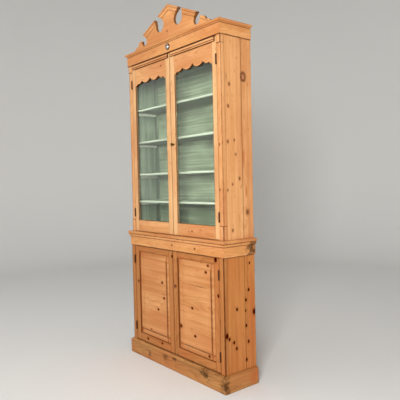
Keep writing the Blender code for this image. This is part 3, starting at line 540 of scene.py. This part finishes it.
def waxed_pine(timber, board, tone, knot_dark=1.0, grime=0.6, edge_dirt=0.0, corner=0.0, margin=0.0,
               paint=None):
    """Stripped, waxed pine, planed by hand: growth lines, soft streaks, knots, and old wax and painted
    shade in the corners and hollows.

    The eye sees a warm satin wood with pale early wood between darker lines, which bend round the knots.
    The grime strength darkens a face's edges with dirt and painted shade, the edge dirt strength darkens
    the board's narrow faces with dirt and painted shade, corner darkens a post's outer corner, and margin
    is how far in a panel's faces have reddened.
    """
    coat = Coat("waxed_pine_" + board.node)
    knot = knot_reach(coat, board, board.knots(KNOTS))
    ring = growth_rings(coat, board, timber.ring_spacing, knot)
    streak = coat.cloud(timber.streak_width, board.seed + 3, board.grain, detail=2.0)
    streak = coat.add("MapRange", (streak, 0.38, 0.66, 0.0, 0.38), interpolation_type="SMOOTHSTEP")
    fibre = coat.cloud(FIBRE_WIDTH, board.seed + 7, board.grain, detail=2.0)
    figure = coat.add("Math", (ring, 0.34, streak), operation="MULTIPLY_ADD")
    figure = coat.add("Math", (fibre, 0.30, figure), operation="MULTIPLY_ADD", use_clamp=True)
    early = getattr(timber, tone + "_early")
    late = getattr(timber, tone + "_late")
    colour = coat.add("Mix", {0: figure, 6: early, 7: late}, out=2, data_type="RGBA")
    cloud = coat.cloud(CLOUD_WIDTH, board.seed + 11, board.grain, stretch=0.3)
    colour = coat.tint(colour, timber.patina, cloud, near=0.64, far=0.40, strength=0.40)
    fleck = coat.cloud(FLECK_WIDTH, board.seed + 23, board.grain, stretch=0.3)
    colour = coat.tint(colour, timber.patina, fleck, near=0.74, far=0.60, strength=0.75)
    blot = coat.cloud(BLOT_WIDTH, board.seed + 17)
    colour = draw_marks(coat, board, timber, colour, knot, knot_dark, blot)
    colour = draw_dirt_and_shade(coat, board, timber, colour, blot)
    edge = edge_distance(coat, board)
    if margin:
        inner = margin + MARGIN_FADE
        colour = coat.tint(colour, timber.patina, edge, margin, inner, 0.55, uneven=(cloud, 60 * MM))
    if corner:
        away = corner_distance(coat, board)
        colour = coat.tint(colour, timber.grime, away, 4 * MM, 12 * MM, corner, uneven=(blot, 5 * MM))
    # Dirt and painted shade along the face's edges, which deepen the dark lines at the gaps between parts
    colour = coat.tint(colour, timber.grime, edge, 2 * MM, timber.grime_width, grime, uneven=(blot, 5 * MM))
    look = coat.add("VectorMath", (coat.facing,), operation="ABSOLUTE")
    look = coat.add("SeparateXYZ", (look,), out=board.thin)
    # Dirt and painted shade on the narrow faces, where shade falls in recesses and cut-outs
    colour = coat.tint(colour, timber.grime, look, near=0.35, far=0.75, strength=edge_dirt)

    gloss = coat.add("Math", (fibre, 0.24, 0.36), operation="MULTIPLY_ADD")
    if paint is not None:
        colour, gloss = paint.over(coat, board, colour, gloss)
    relief = coat.add("Math", (ring, -0.6, fibre), operation="MULTIPLY_ADD")
    # Dead knots and dirt have drunk the wax, so they stay dull
    bright = coat.add("RGBToBW", (colour,))
    shine = coat.add("MapRange", (bright, 0.03, 0.20, 0.0, 0.25))
    values = {"Base Color": colour, "Roughness": gloss, "IOR": WAX_INDEX, "Specular IOR Level": shine}
    return coat.finish(values, relief, strength=0.35, depth=0.5 * MM)


class InsidePaint:
    """Flat oil paint, brushed on one side of a board, from a plane inwards.

    The eye sees a chalky green with soft brush marks, and dark lines where two boards meet.
    """

    def __init__(self, finish, axis, way, stop, fresh, worn, on_wall=False):
        self.finish = finish
        self.axis = axis
        self.way = way
        self.stop = stop
        self.fresh = fresh
        self.worn = worn
        self.on_wall = on_wall

    def over(self, coat, board, timber, gloss):
        """Timber and its roughness, with the paint laid over them on the side that faces in."""
        brushed = coat.cloud(BRUSH_WIDTH, 5.0, board.grain)
        cloud = coat.add("Math", (coat.cloud(PAINT_CLOUD_WIDTH, 9.0), 0.5), operation="MULTIPLY")
        paint = coat.tint(self.worn, self.fresh, cloud, near=0.68, far=0.44, uneven=(brushed, 0.6))
        chipped = coat.cloud(CHIP_WIDTH, 2.0, board.grain)
        if self.on_wall:
            paint = self.ladders_and_cleats(coat, paint, chipped)
        else:
            for joint in JOINTS.get(board.node, ()):
                away = coat.from_plane(*joint)
                ragged = (chipped, 3 * MM)
                paint = coat.tint(paint, self.finish.paint_dirt, away, 1.5 * MM, 6 * MM, 0.5, ragged)
        level = coat.add("SeparateXYZ", (coat.place,), out=self.axis)
        level = coat.add("Math", (level, self.way), operation="MULTIPLY")
        stop = self.stop * self.way
        cover = coat.add("MapRange", (level, stop - PAINT_EDGE, stop, 1.0, 0.0),
                         interpolation_type="SMOOTHSTEP")
        colour = coat.add("Mix", {0: cover, 6: timber, 7: paint}, out=2, data_type="RGBA")
        return colour, coat.add("Mix", {0: cover, 2: gloss, 3: PAINT_ROUGHNESS})

    def ladders_and_cleats(self, coat, paint, chipped):
        """Dirt beside the shelf ladders' teeth, and pale rubbed edges on the cleats under the shelves."""
        front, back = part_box("shelf_1")[0].y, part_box("shelf_1")[1].y
        for edge in (front + LADDER_WIDTH, back - LADDER_WIDTH):
            away = coat.from_plane(Y, edge)
            ragged = (chipped, 5 * MM)
            paint = coat.tint(paint, self.finish.paint_dirt, away, 3 * MM, 9 * MM, 0.6, ragged)
        wide = coat.from_plane(X, 0.0)
        proud = coat.add("MapRange", (wide, CLEAT_OUT - 1 * MM, CLEAT_OUT, 1.0, 0.0))
        away = coat.from_plane(Y, (front + back) / 2)
        reach = (back - front) / 2 - LADDER_WIDTH
        between = coat.add("MapRange", (away, reach, reach + 1 * MM, 1.0, 0.0))
        proud = coat.add("Math", (proud, between), operation="MULTIPLY")
        for node in nodes_named("shelf_"):
            away = coat.from_plane(Z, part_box(node)[0].z - CLEAT_HEIGHT / 2)
            cover = coat.add("MapRange", (away, CLEAT_HEIGHT / 2, CLEAT_HEIGHT / 2 + 1 * MM, 1.0, 0.0))
            cover = coat.add("Math", (cover, proud), operation="MULTIPLY")
            paint = coat.add("Mix", {0: cover, 6: paint, 7: self.finish.shelf_edge}, out=2, data_type="RGBA")
        return paint


def shelf_paint(finish, node):
    """Flat oil paint on a shelf: green faces, painted shade below, and a pale front edge that is rubbed paint
    and painted highlight.
    """
    coat = Coat("rubbed_oil_paint_" + node)
    low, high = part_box(node)
    brushed = coat.cloud(SHELF_BRUSH_WIDTH, 3.0, X)
    colour = coat.tint(finish.sage, finish.shelf, brushed, near=0.35, far=0.7)
    # Painted shade: faces that look down take the shaded wall paint
    look = coat.add("SeparateXYZ", (coat.facing,), out=Z)
    colour = coat.tint(colour, finish.shaded_wall_worn, look, near=-0.9, far=-0.5)
    # Pale rubbed paint along the front edge, which is also a painted highlight
    behind = coat.from_plane(Y, low.y)
    colour = coat.tint(colour, finish.shelf_edge, behind, 2 * MM, 5 * MM, uneven=(brushed, 3 * MM))
    # The lower third of the shelf takes the shaded wall paint: darker towards the bottom
    third = (high.z - low.z) / 3
    foot = coat.from_plane(Z, low.z)
    colour = coat.tint(colour, finish.shaded_wall_sage, foot, third, third + 4 * MM, 0.85, uneven=(brushed, 3 * MM))
    return coat.finish({"Base Color": colour, "Roughness": 0.55}, brushed, strength=0.25, depth=0.4 * MM)


def window_glass(finish, name):
    """Thin drawn window glass: clear, faintly green and a little wavy, so that reflections waver.

    Its index is low, so that the pale room all round shows in it only faintly. Light from lamps passes
    straight through it to the shelves.
    """
    coat = Coat(name)
    wave = coat.cloud(GLASS_WAVE_WIDTH, 4.0, Z, stretch=0.4, detail=1.0)
    clear = coat.add("BsdfTransparent", {"Color": finish.glass})
    shadow = coat.add("LightPath", out="Is Shadow Ray")
    mixed = coat.add("MixShader", (shadow, coat.shader.outputs[0], clear))
    coat.fill(coat.tree.nodes["Material Output"].inputs["Surface"], mixed)
    values = {"Base Color": finish.glass, "Roughness": 0.02, "IOR": GLASS_INDEX, "Transmission Weight": 1.0}
    return coat.finish(values, wave, strength=0.12, depth=0.6 * MM)


def mottled(name, first, second, grain_size, roughness, metallic=0.0, share=0.5):
    """A hard surface that goes between two colours in small clouds, with the second a little rougher.

    The share is the level of the clouds at which the second colour takes over.
    """
    coat = Coat(name)
    cloud = coat.cloud(grain_size, 6.0, detail=4.0)
    worn = coat.add("MapRange", (cloud, share + 0.12, share - 0.12, 1.0, 0.0),
                    interpolation_type="SMOOTHSTEP")
    colour = coat.add("Mix", {0: worn, 6: first, 7: second}, out=2, data_type="RGBA")
    gloss = coat.add("Math", (worn, 0.2, roughness), operation="MULTIPLY_ADD")
    values = {"Base Color": colour, "Roughness": gloss, "Metallic": metallic}
    return coat.finish(values, cloud, strength=0.2, depth=0.2 * MM)


def dress(node, material):
    """Give a CAD node its finish."""
    for slot in frame["nodes"][node].material_slots:
        slot.material = material


def wax(node, tone, grain=None, **wear):
    """Give a CAD board its timber finish."""
    timber = bpy.context.scene.bookcase_timber
    dress(node, waxed_pine(timber, Board(node, grain), tone, **wear))


def wear_arris(node, width):
    """Round a board's sharp edges a little, over its solid as it stands."""
    piece = frame["nodes"][node]
    weld = piece.modifiers.new("Joined faces", "WELD")
    weld.merge_threshold = 0.02 * MM
    flat = piece.modifiers.new("Joined flats", "DECIMATE")
    flat.decimate_type = "DISSOLVE"
    flat.angle_limit = math.radians(1)
    bevel = piece.modifiers.new("Worn arris", "BEVEL")
    bevel.width = width
    bevel.segments = 2
    bevel.limit_method = "ANGLE"
    bevel.angle_limit = math.radians(50)


def nodes_named(*starts):
    """CAD nodes whose names begin with one of these words, hinges and knobs left out."""
    return [n for n in sorted(frame["nodes"]) if n.startswith(starts) and not n.endswith(("_hinge", "_knob"))]


def pick(piece=None):
    """Leave edit mode and select one piece or nothing, so that an operator touches only what it should."""
    if bpy.context.object and bpy.context.object.mode != "OBJECT":
        bpy.ops.object.mode_set(mode="OBJECT")
    bpy.ops.object.select_all(action="DESELECT")
    if piece is not None:
        piece.select_set(True)
        bpy.context.view_layer.objects.active = piece


def settle(piece, name, body, material):
    """Name a finished piece, put its place into its mesh, and hang it on its body."""
    pick(piece)
    bpy.ops.object.transform_apply()
    piece.name = name
    piece.data.name = name
    piece.data.materials.clear()
    piece.data.materials.append(material)
    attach(piece, body)


def turned(rings, foot, direction):
    """Turn a piece on the lathe: rings are (radius, reach) from its foot outwards along a direction."""
    pick()
    turn = Vector((0, 0, 1)).rotation_difference(direction).to_euler()
    radius, reach = rings[0]
    bpy.ops.mesh.primitive_circle_add(vertices=TURN_STEPS, radius=radius, fill_type="NGON",
                                      location=foot + direction * reach, rotation=turn)
    piece = bpy.context.object
    bpy.ops.object.transform_apply()
    bpy.ops.object.mode_set(mode="EDIT")
    bpy.ops.mesh.select_all(action="SELECT")
    for next_radius, next_reach in rings[1:]:
        step = direction * (next_reach - reach)
        bpy.ops.mesh.extrude_region_move(TRANSFORM_OT_translate={"value": step})
        share = [1.0 if part else next_radius / radius for part in direction]
        bpy.ops.transform.resize(value=share, center_override=foot + direction * next_reach)
        radius, reach = next_radius, next_reach
    bpy.ops.mesh.select_all(action="SELECT")
    bpy.ops.mesh.normals_make_consistent(inside=False)
    bpy.ops.object.mode_set(mode="OBJECT")
    bpy.ops.object.shade_smooth_by_angle(angle=math.radians(35))
    return piece


def spun_on_face(rings, low, high):
    """A turned piece that fills a box on a front face: rings are (radius, share of its reach)."""
    foot = Vector(((low.x + high.x) / 2, high.y, (low.z + high.z) / 2))
    reach = high.y - low.y
    return turned([(radius, share * reach) for radius, share in rings], foot, Vector((0, -1, 0)))


def plate(corner, far_corner, arris):
    """A flat plate between two corners, with its edges filed round."""
    pick()
    low = Vector(map(min, corner, far_corner))
    high = Vector(map(max, corner, far_corner))
    bpy.ops.mesh.primitive_cube_add(size=1, location=(low + high) / 2, scale=high - low)
    piece = bpy.context.object
    bpy.ops.object.transform_apply()
    bpy.ops.object.mode_set(mode="EDIT")
    bpy.ops.mesh.select_all(action="SELECT")
    bpy.ops.mesh.bevel(offset=arris, segments=2, affect="EDGES")
    bpy.ops.object.mode_set(mode="OBJECT")
    return piece


def copy_to(piece, step):
    """A copy with its own mesh, moved by a step."""
    pick(piece)
    bpy.ops.object.duplicate(linked=False)
    bpy.ops.transform.translate(value=step)
    bpy.ops.object.transform_apply(location=True, rotation=False, scale=False)
    return bpy.context.object


def joined(pieces):
    """Several meshes as one piece."""
    pick(pieces[0])
    for piece in pieces:
        piece.select_set(True)
    bpy.ops.object.join()
    return bpy.context.object


class BOOKCASE_OT_carcass(bpy.types.Operator):
    """Wax the posts and sides, and the base's bottom and back, and paint the glazed case's inner walls"""
    bl_idname = "bookcase.carcass"
    bl_label = "Carcass"

    def execute(self, context):
        timber, finish = context.scene.bookcase_timber, context.scene.bookcase_finish
        inner_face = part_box("upper_bottom")[1].x + WALL_CLEARANCE
        for node, way in (("upper_side_right", 1), ("upper_side_left", -1)):
            # The side walls take the shaded copies of the sage paint, as painted shade
            paint = InsidePaint(finish, X, way, way * inner_face, finish.shaded_wall_sage, finish.shaded_wall_worn,
                                on_wall=True)
            wax(node, "amber", knot_dark=0.6, grime=0.35, paint=paint)
        for node in nodes_named("upper_post"):
            wax(node, "amber", knot_dark=0.6, grime=0.4, corner=0.75)
        for node in nodes_named("base_side"):
            wax(node, "russet", grime=0.75)
        for node in nodes_named("base_post"):
            wax(node, "tawny", grime=0.6, corner=0.9)
        for node in nodes_named("base_bottom", "base_back"):
            wax(node, "warm", grime=0.8)
        for node in nodes_named("upper_post", "base_post", "base_side", "base_bottom", "base_back"):
            wear_arris(node, timber.arris)
        return {"FINISHED"}


class BOOKCASE_OT_mouldings(bpy.types.Operator):
    """Wax the plinth, the waist with its rounded top board, and the cornice"""
    bl_idname = "bookcase.mouldings"
    bl_label = "Mouldings"

    def execute(self, context):
        timber = context.scene.bookcase_timber
        for node in nodes_named("plinth", "waist_frieze", "cornice", "base_top"):
            tone = "worn" if node.startswith("plinth") else "honey"
            wax(node, tone, knot_dark=0.75, edge_dirt=0.1)
            wear_arris(node, timber.arris)
        return {"FINISHED"}


class BOOKCASE_OT_pediment(bpy.types.Operator):
    """Wax the fretted pediment board"""
    bl_idname = "bookcase.pediment"
    bl_label = "Pediment"

    def execute(self, context):
        wax("pediment", "honey", knot_dark=0.6, edge_dirt=0.7)
        return {"FINISHED"}


class BOOKCASE_OT_doors(bpy.types.Operator):
    """Wax the stiles and rails of the four doors and the fielded panels of the lower pair"""
    bl_idname = "bookcase.doors"
    bl_label = "Door frames and panels"

    def execute(self, context):
        timber = context.scene.bookcase_timber
        for node in nodes_named("upper_door"):
            if node.endswith("_stile"):
                wax(node, "pale", knot_dark=0.6, grime=0.45, edge_dirt=0.75)
            elif node.endswith("_rail"):
                wax(node, "amber", knot_dark=0.6, grime=0.4, edge_dirt=0.97)
        for node in nodes_named("base_door"):
            if node.endswith("_panel"):
                wax(node, "warm", grain=X, edge_dirt=0.6, margin=50 * MM)
            else:
                wax(node, "tawny", grime=0.75, edge_dirt=0.75)
                wear_arris(node, timber.arris)
        return {"FINISHED"}


class BOOKCASE_OT_interior(bpy.types.Operator):
    """Paint the boards inside the glazed case and its four shelves"""
    bl_idname = "bookcase.interior"
    bl_label = "Painted interior"

    def execute(self, context):
        finish = context.scene.bookcase_finish
        for node, axis, way in (("upper_back", Y, 1), ("upper_top", Z, 1), ("upper_bottom", Z, -1)):
            paint = InsidePaint(finish, axis, way, Board(node).middle[axis], finish.sage, finish.sage_worn)
            wax(node, "amber", grain=X, edge_dirt=0.2, paint=paint)
        for node in nodes_named("shelf_"):
            dress(node, shelf_paint(finish, node))
            wear_arris(node, 1.5 * MM)
        return {"FINISHED"}


class BOOKCASE_OT_panes(bpy.types.Operator):
    """Glaze the upper doors, with a fillet of painted putty behind each pane"""
    bl_idname = "bookcase.panes"
    bl_label = "Panes and putty"

    putty_width: length_setting("Putty width", 7 * MM, "How far the putty runs in over the glass")
    putty_depth: length_setting("Putty depth", 6 * MM, "How far the putty stands behind the glass")

    def execute(self, context):
        finish = context.scene.bookcase_finish
        glass = window_glass(finish, "drawn_window_glass")
        # A dull grey-green border that softens the pane's edge
        putty = mottled("painted_putty", finish.putty, finish.sage_worn, 12 * MM, 0.6)
        for door in ("upper_door_left", "upper_door_right"):
            dress(door + "_glass", glass)
            fillet = self.fillet(*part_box(door + "_glass"))
            settle(fillet, door + "_putty", door, putty)
        return {"FINISHED"}

    def fillet(self, low, high):
        """A three-cornered frame of putty on the back of a pane."""
        pick()
        back = high.y + 0.05 * MM
        middle = ((low.x + high.x) / 2, back, (low.z + high.z) / 2)
        bpy.ops.mesh.primitive_plane_add(size=1, location=middle, rotation=(math.pi / 2, 0, 0))
        piece = bpy.context.object
        bpy.ops.transform.resize(value=(high.x - low.x, 1, high.z - low.z))
        bpy.ops.object.transform_apply()
        bpy.ops.object.mode_set(mode="EDIT")
        bpy.ops.mesh.select_all(action="SELECT")
        bpy.ops.mesh.inset(thickness=self.putty_width)
        bpy.ops.mesh.delete(type="FACE")
        self.select_edges(piece, low, high, at_rim=True)
        bpy.ops.mesh.extrude_edges_move(TRANSFORM_OT_translate={"value": (0, self.putty_depth, 0)})
        self.select_edges(piece, low, high, at_rim=False)
        bpy.ops.mesh.bridge_edge_loops()
        bpy.ops.mesh.select_all(action="SELECT")
        bpy.ops.mesh.normals_make_consistent(inside=False)
        bpy.ops.object.mode_set(mode="OBJECT")
        return piece

    def select_edges(self, piece, low, high, at_rim):
        """Select the edges at the pane's rim alone, or add those of the inner opening to what is selected."""
        bm = bmesh.from_edit_mesh(piece.data)
        for edge in bm.edges:
            ends = [self.on_rim(v.co, low, high) for v in edge.verts]
            edge.select_set(all(ends) if at_rim else edge.select or not any(ends))
        bm.select_flush_mode()
        bmesh.update_edit_mesh(piece.data)

    def on_rim(self, point, low, high):
        aside = min(abs(point.x - low.x), abs(point.x - high.x))
        along = min(abs(point.z - low.z), abs(point.z - high.z))
        return min(aside, along) < 0.1 * MM


class BOOKCASE_OT_hinges(bpy.types.Operator):
    """Hang the doors on iron butts with separate knuckles, leaves and screws"""
    bl_idname = "bookcase.hinges"
    bl_label = "Butt hinges"

    knuckles: bpy.props.IntProperty(name="Knuckles", description="Knuckles in each barrel", default=5, min=3)
    barrel_radius: length_setting("Barrel radius", 4 * MM, "Radius of the hinge barrel")
    knuckle_gap: length_setting("Knuckle gap", 0.5 * MM, "Gap between two knuckles")
    post_leaf: length_setting("Post leaf", 1.5 * MM, "Thickness of the leaf on the post")
    door_leaf: length_setting("Door leaf", 0.7 * MM, "How far the leaf on the door stands out of its recess")
    screw_radius: length_setting("Screw radius", 2.6 * MM, "Radius of a screw head")

    def execute(self, context):
        finish = context.scene.bookcase_finish
        # Near black with a brown bloom, so that the hinges read as dark strokes beside the posts
        iron = mottled("blackened_iron", finish.iron, finish.rust, 6 * MM, 0.42, metallic=0.85, share=0.44)
        for joint in frame["joints"]:
            door = joint["child"]
            lower, upper = door + "_lower_hinge", door + "_upper_hinge"
            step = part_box(upper)[0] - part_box(lower)[0]
            for leaf, body in (("post_leaf", "case"), ("door_leaf", door)):
                first = self.half(lower, Vector(joint["pos_m"]), on_post=body == "case")
                second = copy_to(first, step)
                for piece, node in ((first, lower), (second, upper)):
                    settle(piece, f"{node}_{leaf}", body, iron)
                    if body == "case":
                        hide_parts(node)
        return {"FINISHED"}

    def half(self, node, axis, on_post):
        """One leaf of a butt with its own knuckles and three screws."""
        low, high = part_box(node)
        height = high.z - low.z
        side = math.copysign(1, axis.x)
        outer = max(abs(low.x), abs(high.x)) if on_post else abs(axis.x) - LEAF_PLAY
        inner = outer - (self.post_leaf if on_post else self.door_leaf)
        front = axis.y + self.barrel_radius / 2
        pieces = [plate((side * inner, front, low.z), (side * outer, high.y, high.z), LEAF_ARRIS)]

        length = height / self.knuckles
        first = 0 if on_post else 1
        knuckle = self.knuckle((axis.x, axis.y, low.z + first * length), length)
        pieces.append(knuckle)
        for number in range(2, self.knuckles - first, 2):
            pieces.append(copy_to(knuckle, (0, 0, number * length)))

        shown = side * (inner if on_post else outer)
        place = Vector((shown, (front + high.y) / 2, low.z + height / 6))
        screw = self.screw(place, Vector((-side if on_post else side, 0, 0)))
        pieces.append(screw)
        pieces.append(copy_to(screw, (0, (high.y - front) / 5, height / 3)))
        pieces.append(copy_to(screw, (0, 0, height * 2 / 3)))
        return joined(pieces)

    def knuckle(self, foot, length):
        """One link of the barrel, with its ends eased."""
        ease = KNUCKLE_EASE
        radius = self.barrel_radius
        low, high = self.knuckle_gap / 2, length - self.knuckle_gap / 2
        rings = [(radius - ease, low), (radius, low + ease), (radius, high - ease), (radius - ease, high)]
        return turned(rings, Vector(foot), Vector((0, 0, 1)))

    def screw(self, place, direction):
        """A countersunk screw head with a worn slot."""
        radius = self.screw_radius
        head = turned([(radius * share, reach) for share, reach in SCREW_PROFILE], place, direction)
        reach = Vector((*SLOT_REACH, radius * SLOT_LENGTH))
        slot = plate(place - reach, place + reach, SLOT_ARRIS)
        cut = head.modifiers.new("Slot", "BOOLEAN")
        cut.operation = "DIFFERENCE"
        cut.solver = "EXACT"
        cut.object = slot
        pick(head)
        bpy.ops.object.modifier_apply(modifier=cut.name)
        bpy.data.objects.remove(slot)
        return head


class BOOKCASE_OT_knobs(bpy.types.Operator):
    """Turn the brass knob of the glazed doors and the wooden knob of the cupboard"""
    bl_idname = "bookcase.knobs"
    bl_label = "Knobs"

    def execute(self, context):
        finish = context.scene.bookcase_finish
        # A dark gold glint, browned in patches by handling
        brass = mottled("turned_brass", finish.brass, finish.tarnish, 7 * MM, 0.24, metallic=1.0, share=0.46)
        # A red-brown satin, darker in small clouds
        wood = mottled("stained_beech", finish.knob_wood, finish.knob_wood_dark, 9 * MM, 0.55, share=0.58)
        self.knob("upper_knob", "upper_door_right", brass, "aged_brass", neck=0.5)
        self.knob("base_knob", "base_door_right", wood, "dark_turned_wood", neck=0.48)
        return {"FINISHED"}

    def knob(self, node, body, material, slot, neck):
        """A turned knob in the box of its solid: rose, bead, neck and rounded head."""
        low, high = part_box(node)
        radius = (high.x - low.x) / 2
        rose = radius * (neck + 0.22)
        flare, flare_reach = KNOB_FLARE
        rings = [(rose * share, reach) for share, reach in KNOB_ROSE]
        rings += [(radius * neck * share, reach) for share, reach in KNOB_NECK]
        rings.append((radius * (neck + flare), flare_reach))
        for angle in range(-50, 86, 9):
            turn = math.radians(angle)
            rings.append((radius * math.cos(turn), KNOB_HEAD_MIDDLE + KNOB_HEAD_RISE * math.sin(turn)))
        piece = spun_on_face(rings, low, high)
        settle(piece, node + "_turned", body, material)
        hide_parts(node)


class BOOKCASE_OT_boss(bpy.types.Operator):
    """Spin the domed boss on the frieze, with its rim and the ring round its dome"""
    bl_idname = "bookcase.boss"
    bl_label = "Frieze boss"

    def execute(self, context):
        finish = context.scene.bookcase_finish
        # A bright dot that mirrors the room, with brown patches that are tarnish and a painted dark
        # reflection
        pewter = mottled("polished_pewter", finish.pewter, finish.pewter_tarnish_and_dark_reflection, 14 * MM, 0.10, metallic=1.0,
                         share=0.44)
        low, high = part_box("frieze_boss")
        radius = (high.x - low.x) / 2
        rings = [(radius * share, reach) for share, reach in BOSS_RIM]
        for angle in range(0, 90, 9):
            turn = math.radians(angle)
            rings.append((radius * BOSS_DOME * math.cos(turn), BOSS_DOME_FOOT + BOSS_DOME * math.sin(turn)))
        piece = spun_on_face(rings, low, high)
        settle(piece, "frieze_boss_spun", "case", pewter)
        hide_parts("frieze_boss")
        return {"FINISHED"}


class BOOKCASE_OT_studio(bpy.types.Operator):
    """Lay the pale floor with its curved backdrop, light it softly and set the camera"""
    bl_idname = "bookcase.studio"
    bl_label = "Studio"

    floor_radius: length_setting("Floor radius", 4.6, "Radius of the flat floor")
    cove_radius: length_setting("Cove radius", 1.4, "Radius of the curve from the floor to the backdrop")
    wall_height: length_setting("Backdrop height", 6.5, "Height of the backdrop")

    def execute(self, context):
        studio = context.scene.bookcase_studio
        self.sweep(studio)
        for name, (place, size) in LAMPS.items():
            self.lamp(name, Vector(place), size, getattr(studio, name))
        world = bpy.data.worlds.new("studio_sky")
        world.use_nodes = True
        sky = world.node_tree.nodes["Background"]
        sky.inputs["Color"].default_value = studio.sky_colour
        sky.inputs["Strength"].default_value = studio.sky
        context.scene.world = world
        context.scene.view_settings.view_transform = "Standard"
        self.camera(context)
        return {"FINISHED"}

    def sweep(self, studio):
        """A round floor that curves up into a backdrop."""
        pick()
        bpy.ops.mesh.primitive_circle_add(vertices=FLOOR_STEPS, radius=self.floor_radius, fill_type="NGON")
        piece = bpy.context.object
        piece.name = "floor"
        bpy.ops.object.mode_set(mode="EDIT")
        bpy.ops.mesh.select_all(action="SELECT")
        bpy.ops.mesh.region_to_loop()
        rings = []
        for angle in range(10, 91, 10):
            turn = math.radians(angle)
            out = self.floor_radius + self.cove_radius * math.sin(turn)
            rings.append((out, self.cove_radius * (1 - math.cos(turn))))
        rings.append((self.floor_radius + self.cove_radius, self.wall_height))
        radius, height = self.floor_radius, 0.0
        for next_radius, next_height in rings:
            bpy.ops.mesh.extrude_edges_move(TRANSFORM_OT_translate={"value": (0, 0, next_height - height)})
            share = next_radius / radius
            bpy.ops.transform.resize(value=(share, share, 1), center_override=(0, 0, next_height))
            radius, height = next_radius, next_height
        bpy.ops.mesh.select_all(action="SELECT")
        bpy.ops.mesh.normals_make_consistent(inside=True)
        bpy.ops.object.mode_set(mode="OBJECT")
        bpy.ops.object.shade_smooth_by_angle(angle=math.radians(30))
        # An even pale ground that takes soft shadows
        piece.data.materials.append(mottled("matt_floor_paint", studio.floor, studio.floor, 0.3, 0.8))

    def lamp(self, name, place, size, power):
        pick()
        turn = (LAMP_AIM - place).to_track_quat("-Z", "Y").to_euler()
        bpy.ops.object.light_add(type="AREA", location=place, rotation=turn)
        lamp = bpy.context.object
        lamp.name = name
        lamp.data.size = size
        lamp.data.energy = power

    def camera(self, context):
        """A level camera turned by yaw, pitch and roll, with its lens shifted as the picture's crop needs."""
        pick()
        bpy.ops.object.camera_add(location=CAMERA_PLACE)
        camera = bpy.context.object
        yaw = Matrix.Rotation(math.radians(CAMERA_YAW), 4, "Z")
        pitch = Matrix.Rotation(math.radians(90 + CAMERA_PITCH), 4, "X")
        roll = Matrix.Rotation(math.radians(CAMERA_ROLL), 4, "Z")
        camera.rotation_euler = (yaw @ pitch @ roll).to_euler()
        camera.data.lens = CAMERA_LENS
        camera.data.shift_x = CAMERA_SHIFT
        context.scene.camera = camera


STEPS = (BOOKCASE_OT_carcass, BOOKCASE_OT_mouldings, BOOKCASE_OT_pediment, BOOKCASE_OT_doors,
         BOOKCASE_OT_interior, BOOKCASE_OT_panes, BOOKCASE_OT_hinges, BOOKCASE_OT_knobs, BOOKCASE_OT_boss,
         BOOKCASE_OT_studio)


class BOOKCASE_PT_panel(bpy.types.Panel):
    """Lists the bookcase's steps in the 3D view's sidebar"""
    bl_idname = "BOOKCASE_PT_panel"
    bl_label = "Glazed Pine Bookcase"
    bl_space_type = "VIEW_3D"
    bl_region_type = "UI"
    bl_category = "Bookcase"

    def draw(self, context):
        for step in STEPS:
            self.layout.operator(step.bl_idname)


SETTINGS = {
    "bookcase_timber": BookcaseTimber,
    "bookcase_finish": BookcaseFinish,
    "bookcase_studio": BookcaseStudio,
}


def register():
    for name, group in SETTINGS.items():
        bpy.utils.register_class(group)
        setattr(bpy.types.Scene, name, bpy.props.PointerProperty(type=group))
    for step in (*STEPS, BOOKCASE_PT_panel):
        bpy.utils.register_class(step)


def unregister():
    for step in (BOOKCASE_PT_panel, *reversed(STEPS)):
        bpy.utils.unregister_class(step)
    for name, group in SETTINGS.items():
        delattr(bpy.types.Scene, name)
        bpy.utils.unregister_class(group)


def main():
    register()
    bpy.ops.bookcase.carcass()
    bpy.ops.bookcase.mouldings()
    bpy.ops.bookcase.pediment()
    bpy.ops.bookcase.doors()
    bpy.ops.bookcase.interior()
    bpy.ops.bookcase.panes()
    bpy.ops.bookcase.hinges()
    bpy.ops.bookcase.knobs()
    bpy.ops.bookcase.boss()
    bpy.ops.bookcase.studio()
    pick()


if __name__ == "__main__":
    main()
